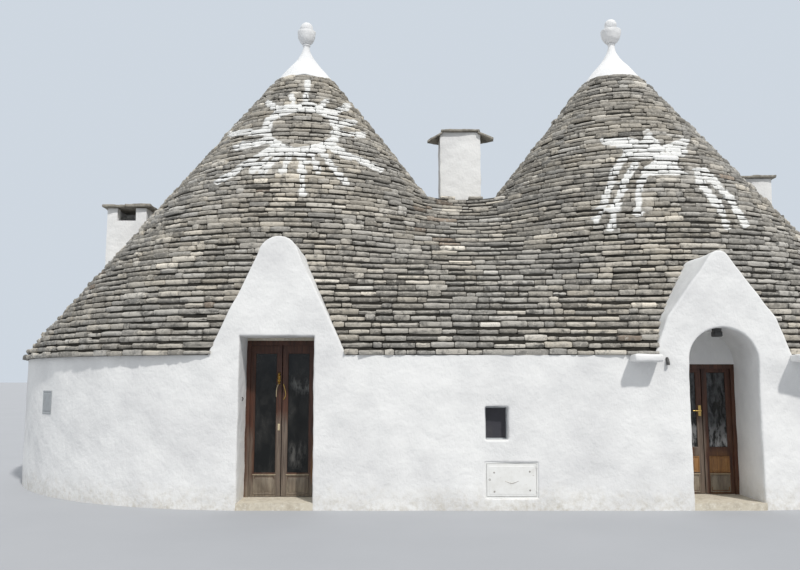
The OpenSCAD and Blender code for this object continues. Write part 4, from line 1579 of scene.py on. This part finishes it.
def turned(profile: Array, x: float, columns: int, rough: Swell,
           lip: Array | None = None) -> Form:
    """Closed surface of revolution about an upright axis over the ridge.

    Args:
        profile: (n, 2) radius and height, from the foot's middle to the top's.
        x: place of the axis.
        columns: points around it.
        rough: unevenness, added to the radius.
        lip: (n,) share by which a point droops and wavers, or None.

    Returns:
        (x + r cos t, r sin t, z), in which a lip moves r and z by waves in t.
    """
    way = ways(full_turn(columns))
    radius, height = (np.repeat(part[:, None], columns, axis=1) for part in profile.T)
    if lip is not None:
        ring = axes(*way.T, 0.0) * 0.5
        height = height - lip[:, None] * 0.03 * (1 + Swell(1, 0.2, 0.9, 41).at(ring + x))
        radius = radius + lip[:, None] * 0.016 * Swell(1, 0.15, 0.6, 42).at(ring + x)
    rings = np.dstack([way * radius[..., None] + [x, 0], height])
    lift = rough.at(rings) * np.minimum(1.0, radius / 0.08)
    rings[..., :2] += way * lift[..., None]
    return closed_form(rings)


def bent(corners: Profile, t: Array) -> Array:
    """Cubic curve (1-t)^3 a + 3 (1-t)^2 t b + 3 (1-t) t^2 c + t^3 d."""
    s = 1 - t
    return np.column_stack([s ** 3, 3 * s ** 2 * t, 3 * s * t ** 2, t ** 3]) @ corners


@dataclass(frozen=True)
class Finial:
    """Plastered cap with a flared foot and a drooping lip, and the bowl and ball on it."""

    side: str
    x: float
    cap_h: float
    bowl_r: float
    ball_r: float
    ball_rise: float
    foot_z: float = 7.178
    foot_r: float = 0.545
    neck_r: float = 0.06
    collar_h: float = 0.04
    bowl_h: float = 0.262
    columns: int = 96

    def build(self) -> None:
        """Builds the cap and the pinnacle on it."""
        self.cap()
        self.pinnacle()

    def cap(self) -> None:
        """Builds the cap: underside, lip, hollow flare and collar."""
        r, h, neck = self.foot_r, self.cap_h, self.neck_r
        under = ((0.15, 0.0), (0.42, 0.0), (0.52, -0.018), (r + 0.010, -0.030),
                 (r + 0.024, -0.022), (r + 0.026, -0.006), (r + 0.012, 0.012))
        flare = bent(((r, 0.0), (r * 0.66, h * 0.40), (neck * 1.5, h * 0.60), (neck, h)),
                     np.linspace(0.03, 1, 30))
        collar = ((neck + 0.004, h + 0.003), (neck + 0.012, h + 0.012),
                  (neck + 0.013, h + 0.026), (neck + 0.006, h + 0.037), (neck * 0.5, h + 0.04))
        profile = np.concatenate([under, flare, collar])
        lip = np.exp(-((profile[:, 1] + 0.02) / 0.05) ** 2) * (profile[:, 0] > 0.45)
        profile[:, 1] += self.foot_z
        form = turned(profile, self.x, self.columns, Swell(0.006, 0.12, 0.7, 17), lip)
        settle(f"{self.side}_cap_plaster", form, "cap_plaster", f"{self.side}_cap", angle=60)

    def pinnacle(self) -> None:
        """Builds the pinnacle: stem, bowl with a rolled rim, shallow dish and ball."""
        r, h, ball_r = self.bowl_r, self.bowl_h, self.ball_r
        outer = bent(((self.neck_r, 0.0), (r * 0.75, h * 0.1), (r, h * 0.5), (r, h - 0.012)),
                     np.linspace(0, 1, 16))
        dish, centre = h - 0.022, h + self.ball_rise
        touch = math.sqrt(max(ball_r ** 2 - (centre - dish) ** 2, 0.035 ** 2))
        rim = ((r - 0.002, h - 0.004), (r - 0.010, h), (r - 0.022, h - 0.003),
               (r - 0.034, h - 0.014), (touch + 0.02, dish), (touch, dish))
        start = math.asin(max(-0.95, (dish - centre) / ball_r))
        ball = ball_r * ways(np.linspace(start, np.pi / 2 * 0.985, 22)) + [0.0, centre]
        profile = np.concatenate([[[self.neck_r * 0.5, 0.0]], outer, rim, ball])
        profile[:, 1] += self.foot_z + self.cap_h + self.collar_h
        form = turned(profile, self.x, 64, Swell(0.003, 0.08, 0.3, 19))
        settle(f"{self.side}_pinnacle_stone", form, "cap_plaster", f"{self.side}_pinnacle",
               angle=60)


# Part: slabs


def soft_block(low: Corner, high: Corner, corner: float, spacing: float,
               rough: Swell | None = None) -> Form:
    """Block with rounded edges, as rounded rectangles carried along X.

    Args:
        low: lowest corner.
        high: highest corner.
        corner: radius of the edges.
        spacing: distance between vertices.
        rough: unevenness, or None.

    Returns:
        The form. A section at the end is smaller by corner * (1 - cos a) and lies
        corner * (1 - sin a) outside the last full one.
    """
    low, high = np.array(low), np.array(high)
    middle, half = centred(low, high)
    corner = min(corner, 0.96 * half.min())
    lean = np.radians([84.0, 62.0, 42.0, 20.0, 0.0])
    body = spread((corner - half[0], half[0] - corner), spacing)[1:-1]
    end = half[0] - corner * (1 - np.sin(lean))
    less = corner * (1 - np.cos(lean))
    places = np.concatenate([-end, body, end[::-1]])
    smaller = np.concatenate([less, 0 * body, less[::-1]])
    unit = around(*(spread((-1.0, corner / size - 1, 1 - corner / size, 1.0),
                           spacing / size) for size in half[1:]))
    rings = np.stack([np.column_stack([
        np.full(len(unit), x), rounded_frame(unit, (0.0, 0.0), half[1:] - e, corner - e)[0]])
        for x, e in zip(places, smaller)]) + middle
    if rough is not None:
        away = rings - np.clip(rings, low + corner, high - corner)
        away /= np.linalg.norm(away, axis=-1, keepdims=True) + 1e-9
        rings = rings + away * rough.at(rings)[..., None]
    return closed_form(rings)


def set_in(unit: Array, middle: Array, half: Array, inset: Array, y: Array) -> Array:
    """Rings (rows, n, 3) at each y: middle + unit * (half - inset) in x and z."""
    flat = unit * (half - inset[:, None, None]) + middle
    return axes(flat[..., 0], y[:, None], flat[..., 1])


def stepped(low: Pair, high: Pair, steps: Profile, spacing: float = 0.05) -> Form:
    """Raised field: rectangles in x and z, each set in by a distance at its own y.

    Args:
        low: lower left corner.
        high: upper right corner.
        steps: (distance set in, y) from the back to the front.
        spacing: distance between vertices along the sides.

    Returns:
        The closed form.
    """
    middle, half = centred(low, high)
    unit = around(spread((-1.0, 1.0), spacing / half[0]),
                  spread((-1.0, 1.0), spacing / half[1]))
    inset, y = np.array(steps).T
    return closed_form(set_in(unit, middle, half, inset, y))


def moulding(low: Pair, high: Pair, profile: Profile) -> Form:
    """Moulding mitred around a rectangle: a closed profile of (distance in, y).

    Args:
        low: lower left corner in x and z.
        high: upper right corner in x and z.
        profile: corners of the section.

    Returns:
        The closed form.
    """
    middle, half = centred(low, high)
    unit = np.array([[-1, -1], [1, -1], [1, 1], [-1, 1]], float)
    inset, y = np.array(profile).T
    points = set_in(unit, middle, half, inset, y).reshape(-1, 3)
    quads = lattice(len(profile), 4, wrap_rows=True, wrap_columns=True)
    return outward(points, quads, np.zeros((0, 3), int))


def button(centre: Corner, profile: Profile, columns: int = 20) -> Form:
    """Round form about an axis along Y.

    Args:
        centre: middle of its foot.
        profile: (radius, distance to the front) of its rings.
        columns: points around it.

    Returns:
        The closed form.
    """
    turn = full_turn(columns)
    radius, front = np.array(profile).T[..., None]
    return closed_form(axes(centre[0] + radius * np.cos(turn), centre[1] - front,
                            centre[2] + radius * np.sin(turn)))


# No rod runs along this direction, so it can fix the first side of each one.
GUIDE = (0.31, 0.22, 0.92)


def rod(path: Array, radius: float, columns: int = 12) -> Form:
    """Round rod carried along a path, with closed ends.

    Args:
        path: (n, 3) points of its axis.
        radius: its radius.
        columns: points around it.

    Returns:
        path + radius * (side * cos a + up * sin a), in which side and up are square to
        the path's direction.
    """
    ahead = as_unit(np.gradient(path, axis=0))
    side = as_unit(np.cross(ahead, GUIDE))
    up = np.cross(ahead, side)
    turn = full_turn(columns)[:, None]
    rings = (path[:, None] + radius * (side[:, None] * np.cos(turn)
                                       + up[:, None] * np.sin(turn)))
    return closed_form(rings)


@dataclass(frozen=True)
class CoverStones:
    """Rough stone slabs laid over a chimney, each with its own size and fall.

    A slab is (x0, y0, z0, x1, y1, z1, fall, taper). Its z grows by fall * (x - pivot), in
    which the pivot is the slab's upper end, and its depth shrinks from there to the other
    end by the share `taper`, so that a slab with a taper near 1 ends in a front corner.
    """

    node: str
    slabs: tuple[tuple[float, ...], ...]
    seed: int
    corner: float = 0.013
    bends: tuple[Triple, ...] = ((0.012, 0.15, 0.5), (0.012, 0.15, 0.5), (0.005, 0.3, 0.9))

    def build(self) -> None:
        """Builds all the slabs as one piece, bent and ragged by smooth waves."""
        forms = []
        for number, (x0, y0, z0, x1, y1, z1, fall, taper) in enumerate(self.slabs):
            seed = self.seed + 7 * number
            points, *faces = soft_block((x0, y0, z0), (x1, y1, z1), self.corner, 0.04,
                                        Swell(0.005, 0.05, 0.3, seed))
            shift = np.stack([Swell(*wave, seed + k).at(points)
                              for k, wave in enumerate(self.bends, 1)], axis=1)
            off = points[:, 0] - (x1 if fall > 0 else x0)
            shift[:, 2] += fall * off
            shift[:, 1] -= (points[:, 1] - y0) * taper * np.abs(off) / (x1 - x0)
            forms.append((points + shift, *faces))
        settle(f"{self.node}_stones", joined(forms), "slab_stone", self.node)


@dataclass(frozen=True)
class EavesLedges:
    """Plastered ledges that stand out from the eaves on both sides of the right gable."""

    boxes: tuple[tuple[Corner, Corner], ...] = (
        ((1.752, -4.752, 1.812), (2.10, -4.42, 1.902)),
        ((3.76, -4.752, 1.812), (4.108, -4.25, 1.902)))

    def build(self) -> None:
        """Builds both ledges with soft, uneven edges."""
        forms = [soft_block(low, high, 0.022, 0.03, Swell(0.004, 0.1, 0.5, 51))
                 for low, high in self.boxes]
        settle("eaves_ledge_plaster", joined(forms), "whitewash", "eaves_ledges", angle=60)


# Part: doors and metalwork


@dataclass(frozen=True)
class Leaf:
    """Trim of one glazed leaf: glazing beads, raised panels and their mouldings.

    x0 and x1 are the clear field between the stiles; panes and panels are (z0, z1).
    """

    body: str
    x0: float
    x1: float
    front: float
    pane: Pair
    panels: Profile
    thick: float = 0.042
    pane_in: float = 0.018
    bead: float = 0.011
    lift: float = 0.0015
    sunk: float = 0.004
    panel_woods: tuple[str, str] = ("grey_wood", "gold_wood")
    panel_steps: Profile = (
        (0.001, 0.008), (0.001, -0.003), (0.003, -0.006), (0.007, -0.0072), (0.011, -0.006),
        (0.015, 0.001), (0.022, 0.001), (0.042, -0.0045), (0.046, -0.0052))

    def build(self) -> None:
        """Builds the beads, the panels and the ledge."""
        self.beads()
        self.raised_panels()

    def beads(self) -> None:
        """Quarter-round beads on both faces of the pane."""
        forms = []
        for face, inward in ((self.front, 1), (self.front + self.thick, -1)):
            glass, edge = face + inward * self.pane_in, face + inward * self.lift
            rise = inward * self.pane_in * 0.85 * 0.75
            bend = [(self.bead * math.cos(a), edge + rise * (1 - math.sin(a)))
                    for a in np.linspace(0, np.pi / 2, 6)[:-1]]
            profile = ((-self.sunk, glass), (self.bead, glass), *bend, (0.0, edge),
                       (-self.sunk, edge))
            forms.append(moulding((self.x0, self.pane[0]), (self.x1, self.pane[1]), profile))
        settle(f"{self.body}_beads", joined(forms), "door_wood", angle=35, body=self.body)

    def raised_panels(self) -> None:
        """Planted panels with a rolled edge and a raised field, under a pale ledge."""
        steps = tuple((inset, self.front + y) for inset, y in self.panel_steps)
        for number, ((z0, z1), finish) in enumerate(zip(self.panels, self.panel_woods)):
            settle(f"{self.body}_panel_{number}", stepped((self.x0, z0), (self.x1, z1), steps),
                   "door_wood", finish=finish, angle=25, body=self.body)
        top = self.panels[0][1]
        ledge = soft_block((self.x0 - 0.004, self.front - 0.012, top + 0.003),
                           (self.x1 + 0.004, self.front + 0.002, top + 0.015), 0.004, 0.04)
        settle(f"{self.body}_ledge", ledge, "door_wood", finish="pale_wood", angle=40,
               body=self.body)


@dataclass(frozen=True)
class DoorFittings:
    """Knocker and plate on the left door, its jamb's hook, niche lamp and pipe end."""

    face: float = -3.972
    knocker: Pair = (-2.722, 1.61)
    bulb: Profile = ((0.0, -0.002), (0.024, 0.0), (0.027, 0.004), (0.022, 0.013),
                     (0.013, 0.018), (0.009, 0.026), (0.003, 0.030))
    bulbs: Profile = ((0.060, 0.8), (0.022, 1.0), (-0.022, 1.0), (-0.062, 0.7))
    left_strip: Profile = ((-0.006, -0.07), (-0.030, -0.13), (-0.034, -0.24))
    right_strip: Profile = ((0.058, -0.075), (0.085, -0.16), (0.094, -0.225),
                            (0.062, -0.275))
    plate_low: Pair = (-2.730, 0.935)
    plate_high: Pair = (-2.702, 1.02)
    keyhole_at: Pair = (-2.716, 0.985)
    keyhole: Profile = ((0.005, 0.0), (0.005, 0.0015), (0.003, 0.002))
    hook_at: Corner = (-3.165, -4.28, 1.375)
    hook_turns: Pair = (2.6, 3.0)
    hook_sizes: Triple = (0.035, 0.012, 0.055)
    hook_half: float = 0.006
    lamp_low: Corner = (2.890, -4.35, 2.140)
    lamp_high: Corner = (3.000, -4.23, 2.212)
    lamp_corner: float = 0.016
    base_in: float = 0.01
    base_z: Pair = (-0.007, 0.053)
    base_corner: float = 0.006
    pipe_at: Corner = (2.215, -4.50, 1.86)
    pipe_turn: float = 1.57
    pipe_sizes: Triple = (0.05, 0.055, 0.03)
    pipe_half: float = 0.021

    def build(self) -> None:
        """Builds all the fittings."""
        self.hang_knocker()
        self.key_plate()
        self.hook()
        self.lamp()
        self.pipe()

    def strip(self, name: str, corners: Profile, radius: float, finish: str,
              body: str) -> None:
        """Builds one bent strip in front of the stiles, its ends sunk into the wood.

        Args:
            name: name of the piece.
            corners: bends in x and z, from the knocker.
            radius: half its thickness.
            finish: name of its finish.
            body: leaf that carries it.
        """
        line, _ = soft_line(np.array(corners) + self.knocker, 26, 0.05)
        rise = np.sin(np.linspace(0, np.pi, 26)) ** 0.5 * 0.010
        path = axes(line[:, 0], self.face - rise, line[:, 1])
        settle(name, rod(path, radius), "brass", finish=finish, angle=60, body=body)

    def hang_knocker(self) -> None:
        """Builds the brass rosette and the two strips that hang beside it."""
        x, z = self.knocker
        forms = [button((x, self.face, z + rise), tuple((r * size, f) for r, f in self.bulb))
                 for rise, size in self.bulbs]
        settle("knocker_rosette", joined(forms), "brass", angle=60, body="left_leaf_left")
        self.strip("knocker_left_strip", self.left_strip, 0.0055, "pale_brass",
                   "left_leaf_left")
        self.strip("knocker_right_strip", self.right_strip, 0.0065, "brass",
                   "left_leaf_right")

    def key_plate(self) -> None:
        """Builds the keyhole plate of the left door."""
        (x0, z0), (x1, z1) = self.plate_low, self.plate_high
        block = soft_block((x0, self.face - 0.003, z0), (x1, self.face + 0.001, z1), 0.0015,
                           0.01)
        x, z = self.keyhole_at
        hole = button((x, self.face - 0.003, z), self.keyhole)
        settle("left_key_plate", joined([block, hole]), "brass", finish="pale_brass",
               angle=40, body="left_leaf_left")

    def hook(self) -> None:
        """Builds the small dark hook on the left doorway's jamb."""
        t = np.linspace(0, 1, 16)
        (across, over), (reach, rise, drop) = self.hook_turns, self.hook_sizes
        path = self.hook_at + axes(reach * np.sin(t * across), 0,
                                   rise * np.sin(t * over) - drop * t)
        settle("jamb_hook", rod(path, self.hook_half), "cover_metal", finish="dark_metal",
               angle=60)

    def lamp(self) -> None:
        """Builds the small dark lamp under the crown of the niche's arch."""
        (x0, y0, _), (x1, y1, z1) = self.lamp_low, self.lamp_high
        inset, (down, up) = self.base_in, self.base_z
        body = soft_block(self.lamp_low, self.lamp_high, self.lamp_corner, 0.02)
        base = soft_block((x0 + inset, y0 + inset, z1 + down),
                          (x1 - inset, y1 - inset, z1 + up), self.base_corner, 0.03)
        settle("niche_lamp", joined([body, base]), "cover_metal", finish="dark_metal")

    def pipe(self) -> None:
        """Builds the short pipe end beside the left ledge."""
        t = np.linspace(0, 1, 8)
        turn, (reach, drop, fall) = t * self.pipe_turn, self.pipe_sizes
        path = self.pipe_at + axes(0, -reach * np.sin(turn),
                                   -drop * (1 - np.cos(turn)) - fall * t)
        settle("pipe_end", rod(path, self.pipe_half, 16), "cover_metal", finish="dark_metal")


@dataclass(frozen=True)
class Hatch:
    """Pressed skin, screws and lock of the meter hatch, and the small cover's skin."""

    low: Pair = (-0.056, 0.174)
    high: Pair = (0.546, 0.556)
    face: float = -4.5
    skin_steps: Profile = ((0.0, 0.002), (0.0, -0.001), (0.0015, -0.0023), (0.020, -0.0023),
                           (0.024, -0.0052), (0.10, -0.0062))
    screws: Profile = ((0.03, 0.457), (0.468, 0.468), (0.032, 0.228), (0.470, 0.242))
    screw: Profile = ((0.0115, 0.0), (0.0115, 0.0015), (0.0075, 0.002), (0.0072, 0.0035),
                      (0.005, 0.005), (0.002, 0.0056))
    lock_at: Pair = (-0.024, 0.372)
    lock: Profile = ((0.014, 0.0), (0.014, 0.002), (0.012, 0.004), (0.007, 0.004),
                     (0.006, 0.002), (0.002, 0.002))
    crease: Pair = (0.248, 0.326)
    crease_size: Pair = (0.084, 0.029)
    crease_bow: float = 0.004
    screw_in: float = 0.0045
    lock_in: float = 0.0025
    crease_in: float = 0.0068
    cover_steps: Profile = ((0.002, 0.0), (0.0, -0.003), (0.0, -0.021), (0.003, -0.024),
                            (0.022, -0.024), (0.027, -0.021), (0.034, -0.021),
                            (0.040, -0.0235), (0.060, -0.0238))
    cover_low: Pair = (-0.15, 1.11)
    cover_high: Pair = (0.15, 1.44)
    cover_screw: Profile = ((0.008, 0.0), (0.008, 0.002), (0.004, 0.003))
    cover_turn: float = 225.0
    cover_axis: float = -2.93
    cover_r: float = 4.486

    def build(self) -> None:
        """Builds the skin, its fixings and the small cover."""
        self.skin()
        self.fixings()
        self.cover()

    def skin(self) -> None:
        """Builds the pressed sheet with a folded edge and a slightly bowed field."""
        steps = tuple((inset, self.face + y) for inset, y in self.skin_steps)
        settle("hatch_skin", stepped(self.low, self.high, steps, 0.03), "hatch_metal",
               angle=30, body="hatch")

    def fixings(self) -> None:
        """Builds the screws on their washers, the round lock and the V-shaped crease, a grey rod
        that paints the crease's shade.
        """
        forms = [button((x, self.face - self.screw_in, z), self.screw)
                 for x, z in self.screws]
        x, z = self.lock_at
        forms.append(button((x, self.face - self.lock_in, z), self.lock, 24))
        # The crease is a thin rod in the grey screw finish: painted shade along the dent's
        # crease.
        t = np.linspace(-1, 1, 15)
        (x, z), (half, rise) = self.crease, self.crease_size
        forms.append(rod(axes(x + half * t, self.face - self.crease_in
                              + self.crease_bow * t ** 2, z + rise * np.abs(t) ** 1.2),
                         0.0042, 8))
        settle("hatch_fixings", joined(forms), "hatch_metal", finish="screw_metal_and_crease_shade", angle=40,
               body="hatch")

    def cover(self) -> None:
        """Builds the small cover on the round end, with a pressed field and four screws."""
        (x0, z0), (x1, z1) = self.cover_low, self.cover_high
        forms = [stepped(self.cover_low, self.cover_high, self.cover_steps, 0.03)]
        forms += [button((x, -0.024, z), self.cover_screw) for x in (x0 + 0.012, x1 - 0.012)
                  for z in (z0 + 0.012, z1 - 0.012)]
        points, *faces = joined(forms)
        out, side = self.cover_r - points[:, 1:2], points[:, :1]
        ahead = ways(math.radians(self.cover_turn))
        flat = out * ahead + side * ahead[::-1] * [-1, 1] + [self.cover_axis, 0.0]
        settle("cover_plate", (np.column_stack([flat, points[:, 2]]), *faces), "cover_metal",
               "meter_cover", angle=30)


# Part: stage


@dataclass(frozen=True)
class Sun:
    """One lamp: how it is turned in degrees, its strength, its width and its colour."""

    name: str
    turn: Triple
    power: float
    width: float
    colour: Colour

    def build(self) -> None:
        """Puts the lamp into the scene."""
        lamp = bpy.data.lights.new(self.name, "SUN")
        lamp.energy, lamp.color, lamp.angle = self.power, self.colour, math.radians(self.width)
        holder = bpy.data.objects.new(self.name, lamp)
        holder.rotation_euler = np.radians(self.turn)
        bpy.context.scene.collection.objects.link(holder)


@dataclass(frozen=True)
class Stage:
    """Pale floor, plain light and the camera."""

    stance: Stance
    floor_rings: tuple[float, ...] = (400.0, 40.0, 12.0)
    columns: int = 96
    floor_colours: tuple[Colour, Colour] = ((0.37, 0.38, 0.40), (0.39, 0.40, 0.42))
    sky_light: Colour = (0.90, 0.95, 1.0)
    sky_power: float = 0.50
    sky_seen: Colour = (0.62, 0.68, 0.75)
    suns: tuple[Sun, ...] = (Sun("key", (40, 0, 28), 2.7, 3, (1.0, 0.975, 0.94)),
                             Sun("fill", (62, 0, -55), 0.55, 60, (0.95, 0.97, 1.0)),
                             Sun("rear", (55, 0, 195), 0.7, 60, (1.0, 1.0, 1.0)))
    sensor: float = 36.0
    far: float = 500.0

    def sky(self) -> bpy.types.World:
        """World that lights plainly and is pale where it is seen or mirrored.

        Returns:
            The world. Its pale share is the largest of the camera, glossy and
            transmission rays' shares.
        """
        world = bpy.data.worlds.new("plain_sky")
        world.use_nodes = True
        tree = world.node_tree
        seen = tree.nodes.new("ShaderNodeLightPath").outputs
        mix = tree.nodes.new("ShaderNodeMixShader")
        pale_share = seen["Is Camera Ray"]
        for ray in ("Is Glossy Ray", "Is Transmission Ray"):
            step = tree.nodes.new("ShaderNodeMath")
            step.operation = "MAXIMUM"
            tree.links.new(pale_share, step.inputs[0])
            tree.links.new(seen[ray], step.inputs[1])
            pale_share = step.outputs[0]
        tree.links.new(pale_share, mix.inputs[0])
        for number, colour, power in ((1, self.sky_light, self.sky_power),
                                      (2, self.sky_seen, 1.0)):
            plain = tree.nodes.new("ShaderNodeBackground")
            plain.inputs[0].default_value = (*colour, 1)
            plain.inputs[1].default_value = power
            tree.links.new(plain.outputs[0], mix.inputs[number])
        tree.links.new(mix.outputs[0], tree.nodes["World Output"].inputs[0])
        return world

    def floor(self) -> Object:
        """Round floor with a plain pale finish, its rings joined to a middle point.

        Returns:
            The floor.
        """
        count, rows = self.columns, len(self.floor_rings)
        way = axes(*ways(full_turn(count)).T, 0.0)
        rings = np.array(self.floor_rings)[:, None, None] * way
        near = np.arange(count) + (rows - 1) * count
        floor = put_mesh("stage_floor", np.concatenate([rings.reshape(-1, 3), [[0, 0, 0]]]),
                         lattice(rows, count, wrap_columns=True)[:, ::-1],
                         axes(near, np.roll(near, -1), rows * count))
        w = Wiring("stage_floor")
        colour = w.clouded(*self.floor_colours, (0.6, 3, 0.55), 0.3, 0.7)
        floor.data.materials.append(w.close(colour, 0.9))
        return floor

    def camera(self) -> Object:
        """Camera at the stance.

        Returns:
            The camera; its lens is sensor width * focal length / width in picture units.
        """
        lens = bpy.data.cameras.new("front_view")
        lens.sensor_width = self.sensor
        lens.lens = self.sensor * self.stance.focal / self.stance.width
        lens.clip_end = self.far
        camera = bpy.data.objects.new("front_view", lens)
        camera.location = (self.stance.x, self.stance.y, self.stance.z)
        camera.rotation_euler = (math.radians(90 + self.stance.tilt), 0, 0)
        bpy.context.scene.collection.objects.link(camera)
        return camera

    def build(self) -> None:
        """Puts up the floor, the sky, the lamps and the camera."""
        scene = bpy.context.scene
        self.floor()
        scene.view_settings.view_transform = "Standard"
        scene.world = self.sky()
        for sun in self.suns:
            sun.build()
        scene.camera = self.camera()


# Part: house

LEFT_GABLE = Block(-2.68, -4.1, 0.6, ((1.0, 0.86), (1.9, 0.86), (3.20, 0.246), (3.32, 0.19),
                                      (3.39, 0.10), (3.41, 0.02)))
RIGHT_GABLE = Block(2.93, -4.1, 0.6, ((1.0, 0.85), (1.9, 0.85), (2.38, 0.67), (3.14, 0.115),
                                      (3.20, 0.06), (3.22, 0.02)))
SHAFTS = (
    Shaft("left_chimney_plaster", -6.36, 0.7, 0.74, 0.74, 2.6, 4.85, Facing.FRONT, seed=3),
    Shaft("mid_chimney_plaster", 0.0, 0.2, 0.75, 0.65, 4.25, 6.2, Facing.BACK, seed=4),
    Shaft("right_chimney_plaster", 5.97, 1.325, 0.70, 0.70, 2.95, 5.6, Facing.BACK, seed=5))
FINIALS = (Finial("left", -2.93, 0.76, 0.171, 0.123, 0.060),
           Finial("right", 2.93, 0.78, 0.193, 0.117, 0.110))
COVERS = (
    CoverStones("left_chimney_slab", (
        (-6.82, 0.24, 4.858, -6.37, 1.16, 4.908, 0.0, 0.0),
        (-6.38, 0.25, 4.862, -5.90, 1.15, 4.922, 0.0, 0.0)), 61),
    CoverStones("mid_chimney_slabs", (
        (-0.36, -0.20, 6.200, 0.06, 0.61, 6.246, 0.0, 0.0),
        (0.02, -0.195, 6.203, 0.37, 0.60, 6.250, 0.0, 0.0),
        (-0.27, -0.15, 6.240, 0.25, 0.50, 6.259, 0.0, 0.0),
        (-0.612, -0.20, 6.165, -0.345, 0.59, 6.208, 0.62, 0.86),
        (0.345, -0.20, 6.168, 0.612, 0.60, 6.210, -0.50, 0.86)), 71),
    CoverStones("right_chimney_slab", (
        (5.535, 0.885, 5.606, 5.99, 1.765, 5.650, 0.03, 0.0),
        (5.96, 0.90, 5.608, 6.405, 1.75, 5.658, 0.0, 0.0)), 81))
LEFT_PANES, RIGHT_PANES = (0.381, 1.945), (0.691, 1.70)
LEFT_PANELS, RIGHT_PANELS = ((0.118, 0.360),), ((0.113, 0.341), (0.373, 0.582))
LEAVES = (
    Leaf("left_leaf_left", -3.043, -2.748, -3.972, LEFT_PANES, LEFT_PANELS),
    Leaf("left_leaf_right", -2.612, -2.317, -3.972, LEFT_PANES, LEFT_PANELS),
    Leaf("right_leaf_left", 2.597, 2.862, -3.722, RIGHT_PANES, RIGHT_PANELS),
    Leaf("right_leaf_right", 2.998, 3.263, -3.722, RIGHT_PANES, RIGHT_PANELS))
GREY, TAN, GOLD = (0.150, 0.118, 0.092), (0.20, 0.165, 0.125), (0.30, 0.15, 0.05)
DOOR_WEAR = (
    Wear((-2.68, 0.1), (0.46, 0.255), TAN, 0.9), Wear((-2.68, 0.5), (0.090, 0.65), GREY, 0.85),
    Wear((-3.09, 0.55), (0.05, 0.42), GREY, 0.6), Wear((-2.245, 0.55), (0.05, 0.32), GOLD, 0.7),
    Wear((2.88, 0.55), (0.085, 0.62), GREY, 0.8), Wear((3.13, 0.35), (0.14, 0.28), GOLD, 0.55))
LACE = (Wear((2.93, 0.84), (0.40, 0.20), (0.50, 0.50, 0.50), 0.9),
        Wear((2.93, 1.3), (0.40, 0.55), (0.125, 0.13, 0.135), 0.75),
        Wear((-2.42, 1.52), (0.16, 0.13), (0.20, 0.20, 0.19), 0.8),
        Wear((-2.46, 0.62), (0.12, 0.20), (0.16, 0.155, 0.145), 0.7))
FINISHES = (
    LimeWash("cap_plaster", (0.82, 0.82, 0.82), (0.70, 0.71, 0.72)),
    # Near-black bed behind the roof's slabs: painted shade in the gaps between the courses.
    PlainStone("roof_bed_painted_shade", (0.030, 0.028, 0.024), (0.014, 0.013, 0.011), (0.055, 0.05, 0.042)),
    PlainStone("masonry", (0.55, 0.51, 0.43), (0.38, 0.34, 0.28), (0.66, 0.63, 0.56)),
    PlainStone("slab_stone", (0.30, 0.28, 0.24), (0.12, 0.11, 0.10), (0.48, 0.46, 0.41), 1.6),
    PlainStone("pale_stone", (0.60, 0.55, 0.45), (0.44, 0.39, 0.31), (0.72, 0.69, 0.62), 1.4,
               0.003),
    DoorWood(patches=DOOR_WEAR),
    DoorWood("grey_wood", (0.20, 0.16, 0.12), (0.10, 0.08, 0.06), (0.30, 0.26, 0.20), 0.8),
    DoorWood("gold_wood", (0.33, 0.16, 0.05), (0.15, 0.07, 0.025), (0.42, 0.25, 0.11)),
    DoorWood("pale_wood", (0.40, 0.33, 0.22), (0.24, 0.19, 0.13), (0.46, 0.40, 0.30)),
    WindowGlass("bay_glass", (0.050, 0.049, 0.058), clear=0.05),
    SheetMetal("brass", (0.62, 0.42, 0.14), (0.28, 0.17, 0.06), 0.0, 0.32, 1.0),
    SheetMetal("pale_brass", (0.70, 0.58, 0.38), (0.42, 0.33, 0.20), 0.0, 0.38, 0.8),
    SheetMetal("dark_metal", (0.045, 0.045, 0.045), (0.09, 0.085, 0.08), 0.2, 0.5),
    # Grey screw metal, also laid on the hatch's crease as its painted shade.
    SheetMetal("screw_metal_and_crease_shade", (0.40, 0.38, 0.35), (0.20, 0.18, 0.16), 0.6, 0.45, 0.7),
    SheetMetal("window_metal", (0.42, 0.44, 0.46), (0.25, 0.25, 0.25)),
    SheetMetal("hatch_metal", (0.78, 0.78, 0.76), (0.62, 0.61, 0.57), 0.5),
    SheetMetal("cover_metal", (0.34, 0.36, 0.37), (0.22, 0.22, 0.21), 0.3))


def make_finishes() -> None:
    """Makes one material for every slot of the record, and those of single pieces."""
    kinds = {"whitewash": LimeWash(), "roof_stone": DryStone(),
             "glass": WindowGlass(smears=LACE), **{kind.name: kind for kind in FINISHES}}
    for key, kind in kinds.items():
        MADE[key] = kind.build()


def dress_nodes(frame: dict) -> None:
    """Gives every carried-over node the finish of its slot.
    """
    for part in frame["record"]["subparts"]:
        materials = frame["nodes"][part["node"]].data.materials
        materials.clear()
        materials.append(MADE[part["material_slot"]])
    frame["nodes"]["window_pane"].data.materials[0] = MADE["bay_glass"]


def main() -> None:
    """Builds every sub-assembly in order and reports it."""
    logging.basicConfig(level=logging.INFO, format="%(name)s %(message)s")
    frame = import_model()
    stance = Stance()
    Stage(stance).build()
    make_finishes()
    dress_nodes(frame)
    blocks = (LEFT_GABLE, RIGHT_GABLE, *(shaft.block() for shaft in SHAFTS))
    for part in (StoneCourses(RoofShape(), stance, blocks), WallPlaster(), EavesLedges(),
                 *SHAFTS, *FINIALS, *COVERS, *LEAVES, DoorFittings(), Hatch()):
        part.build()


if __name__ == "__main__":
    main()
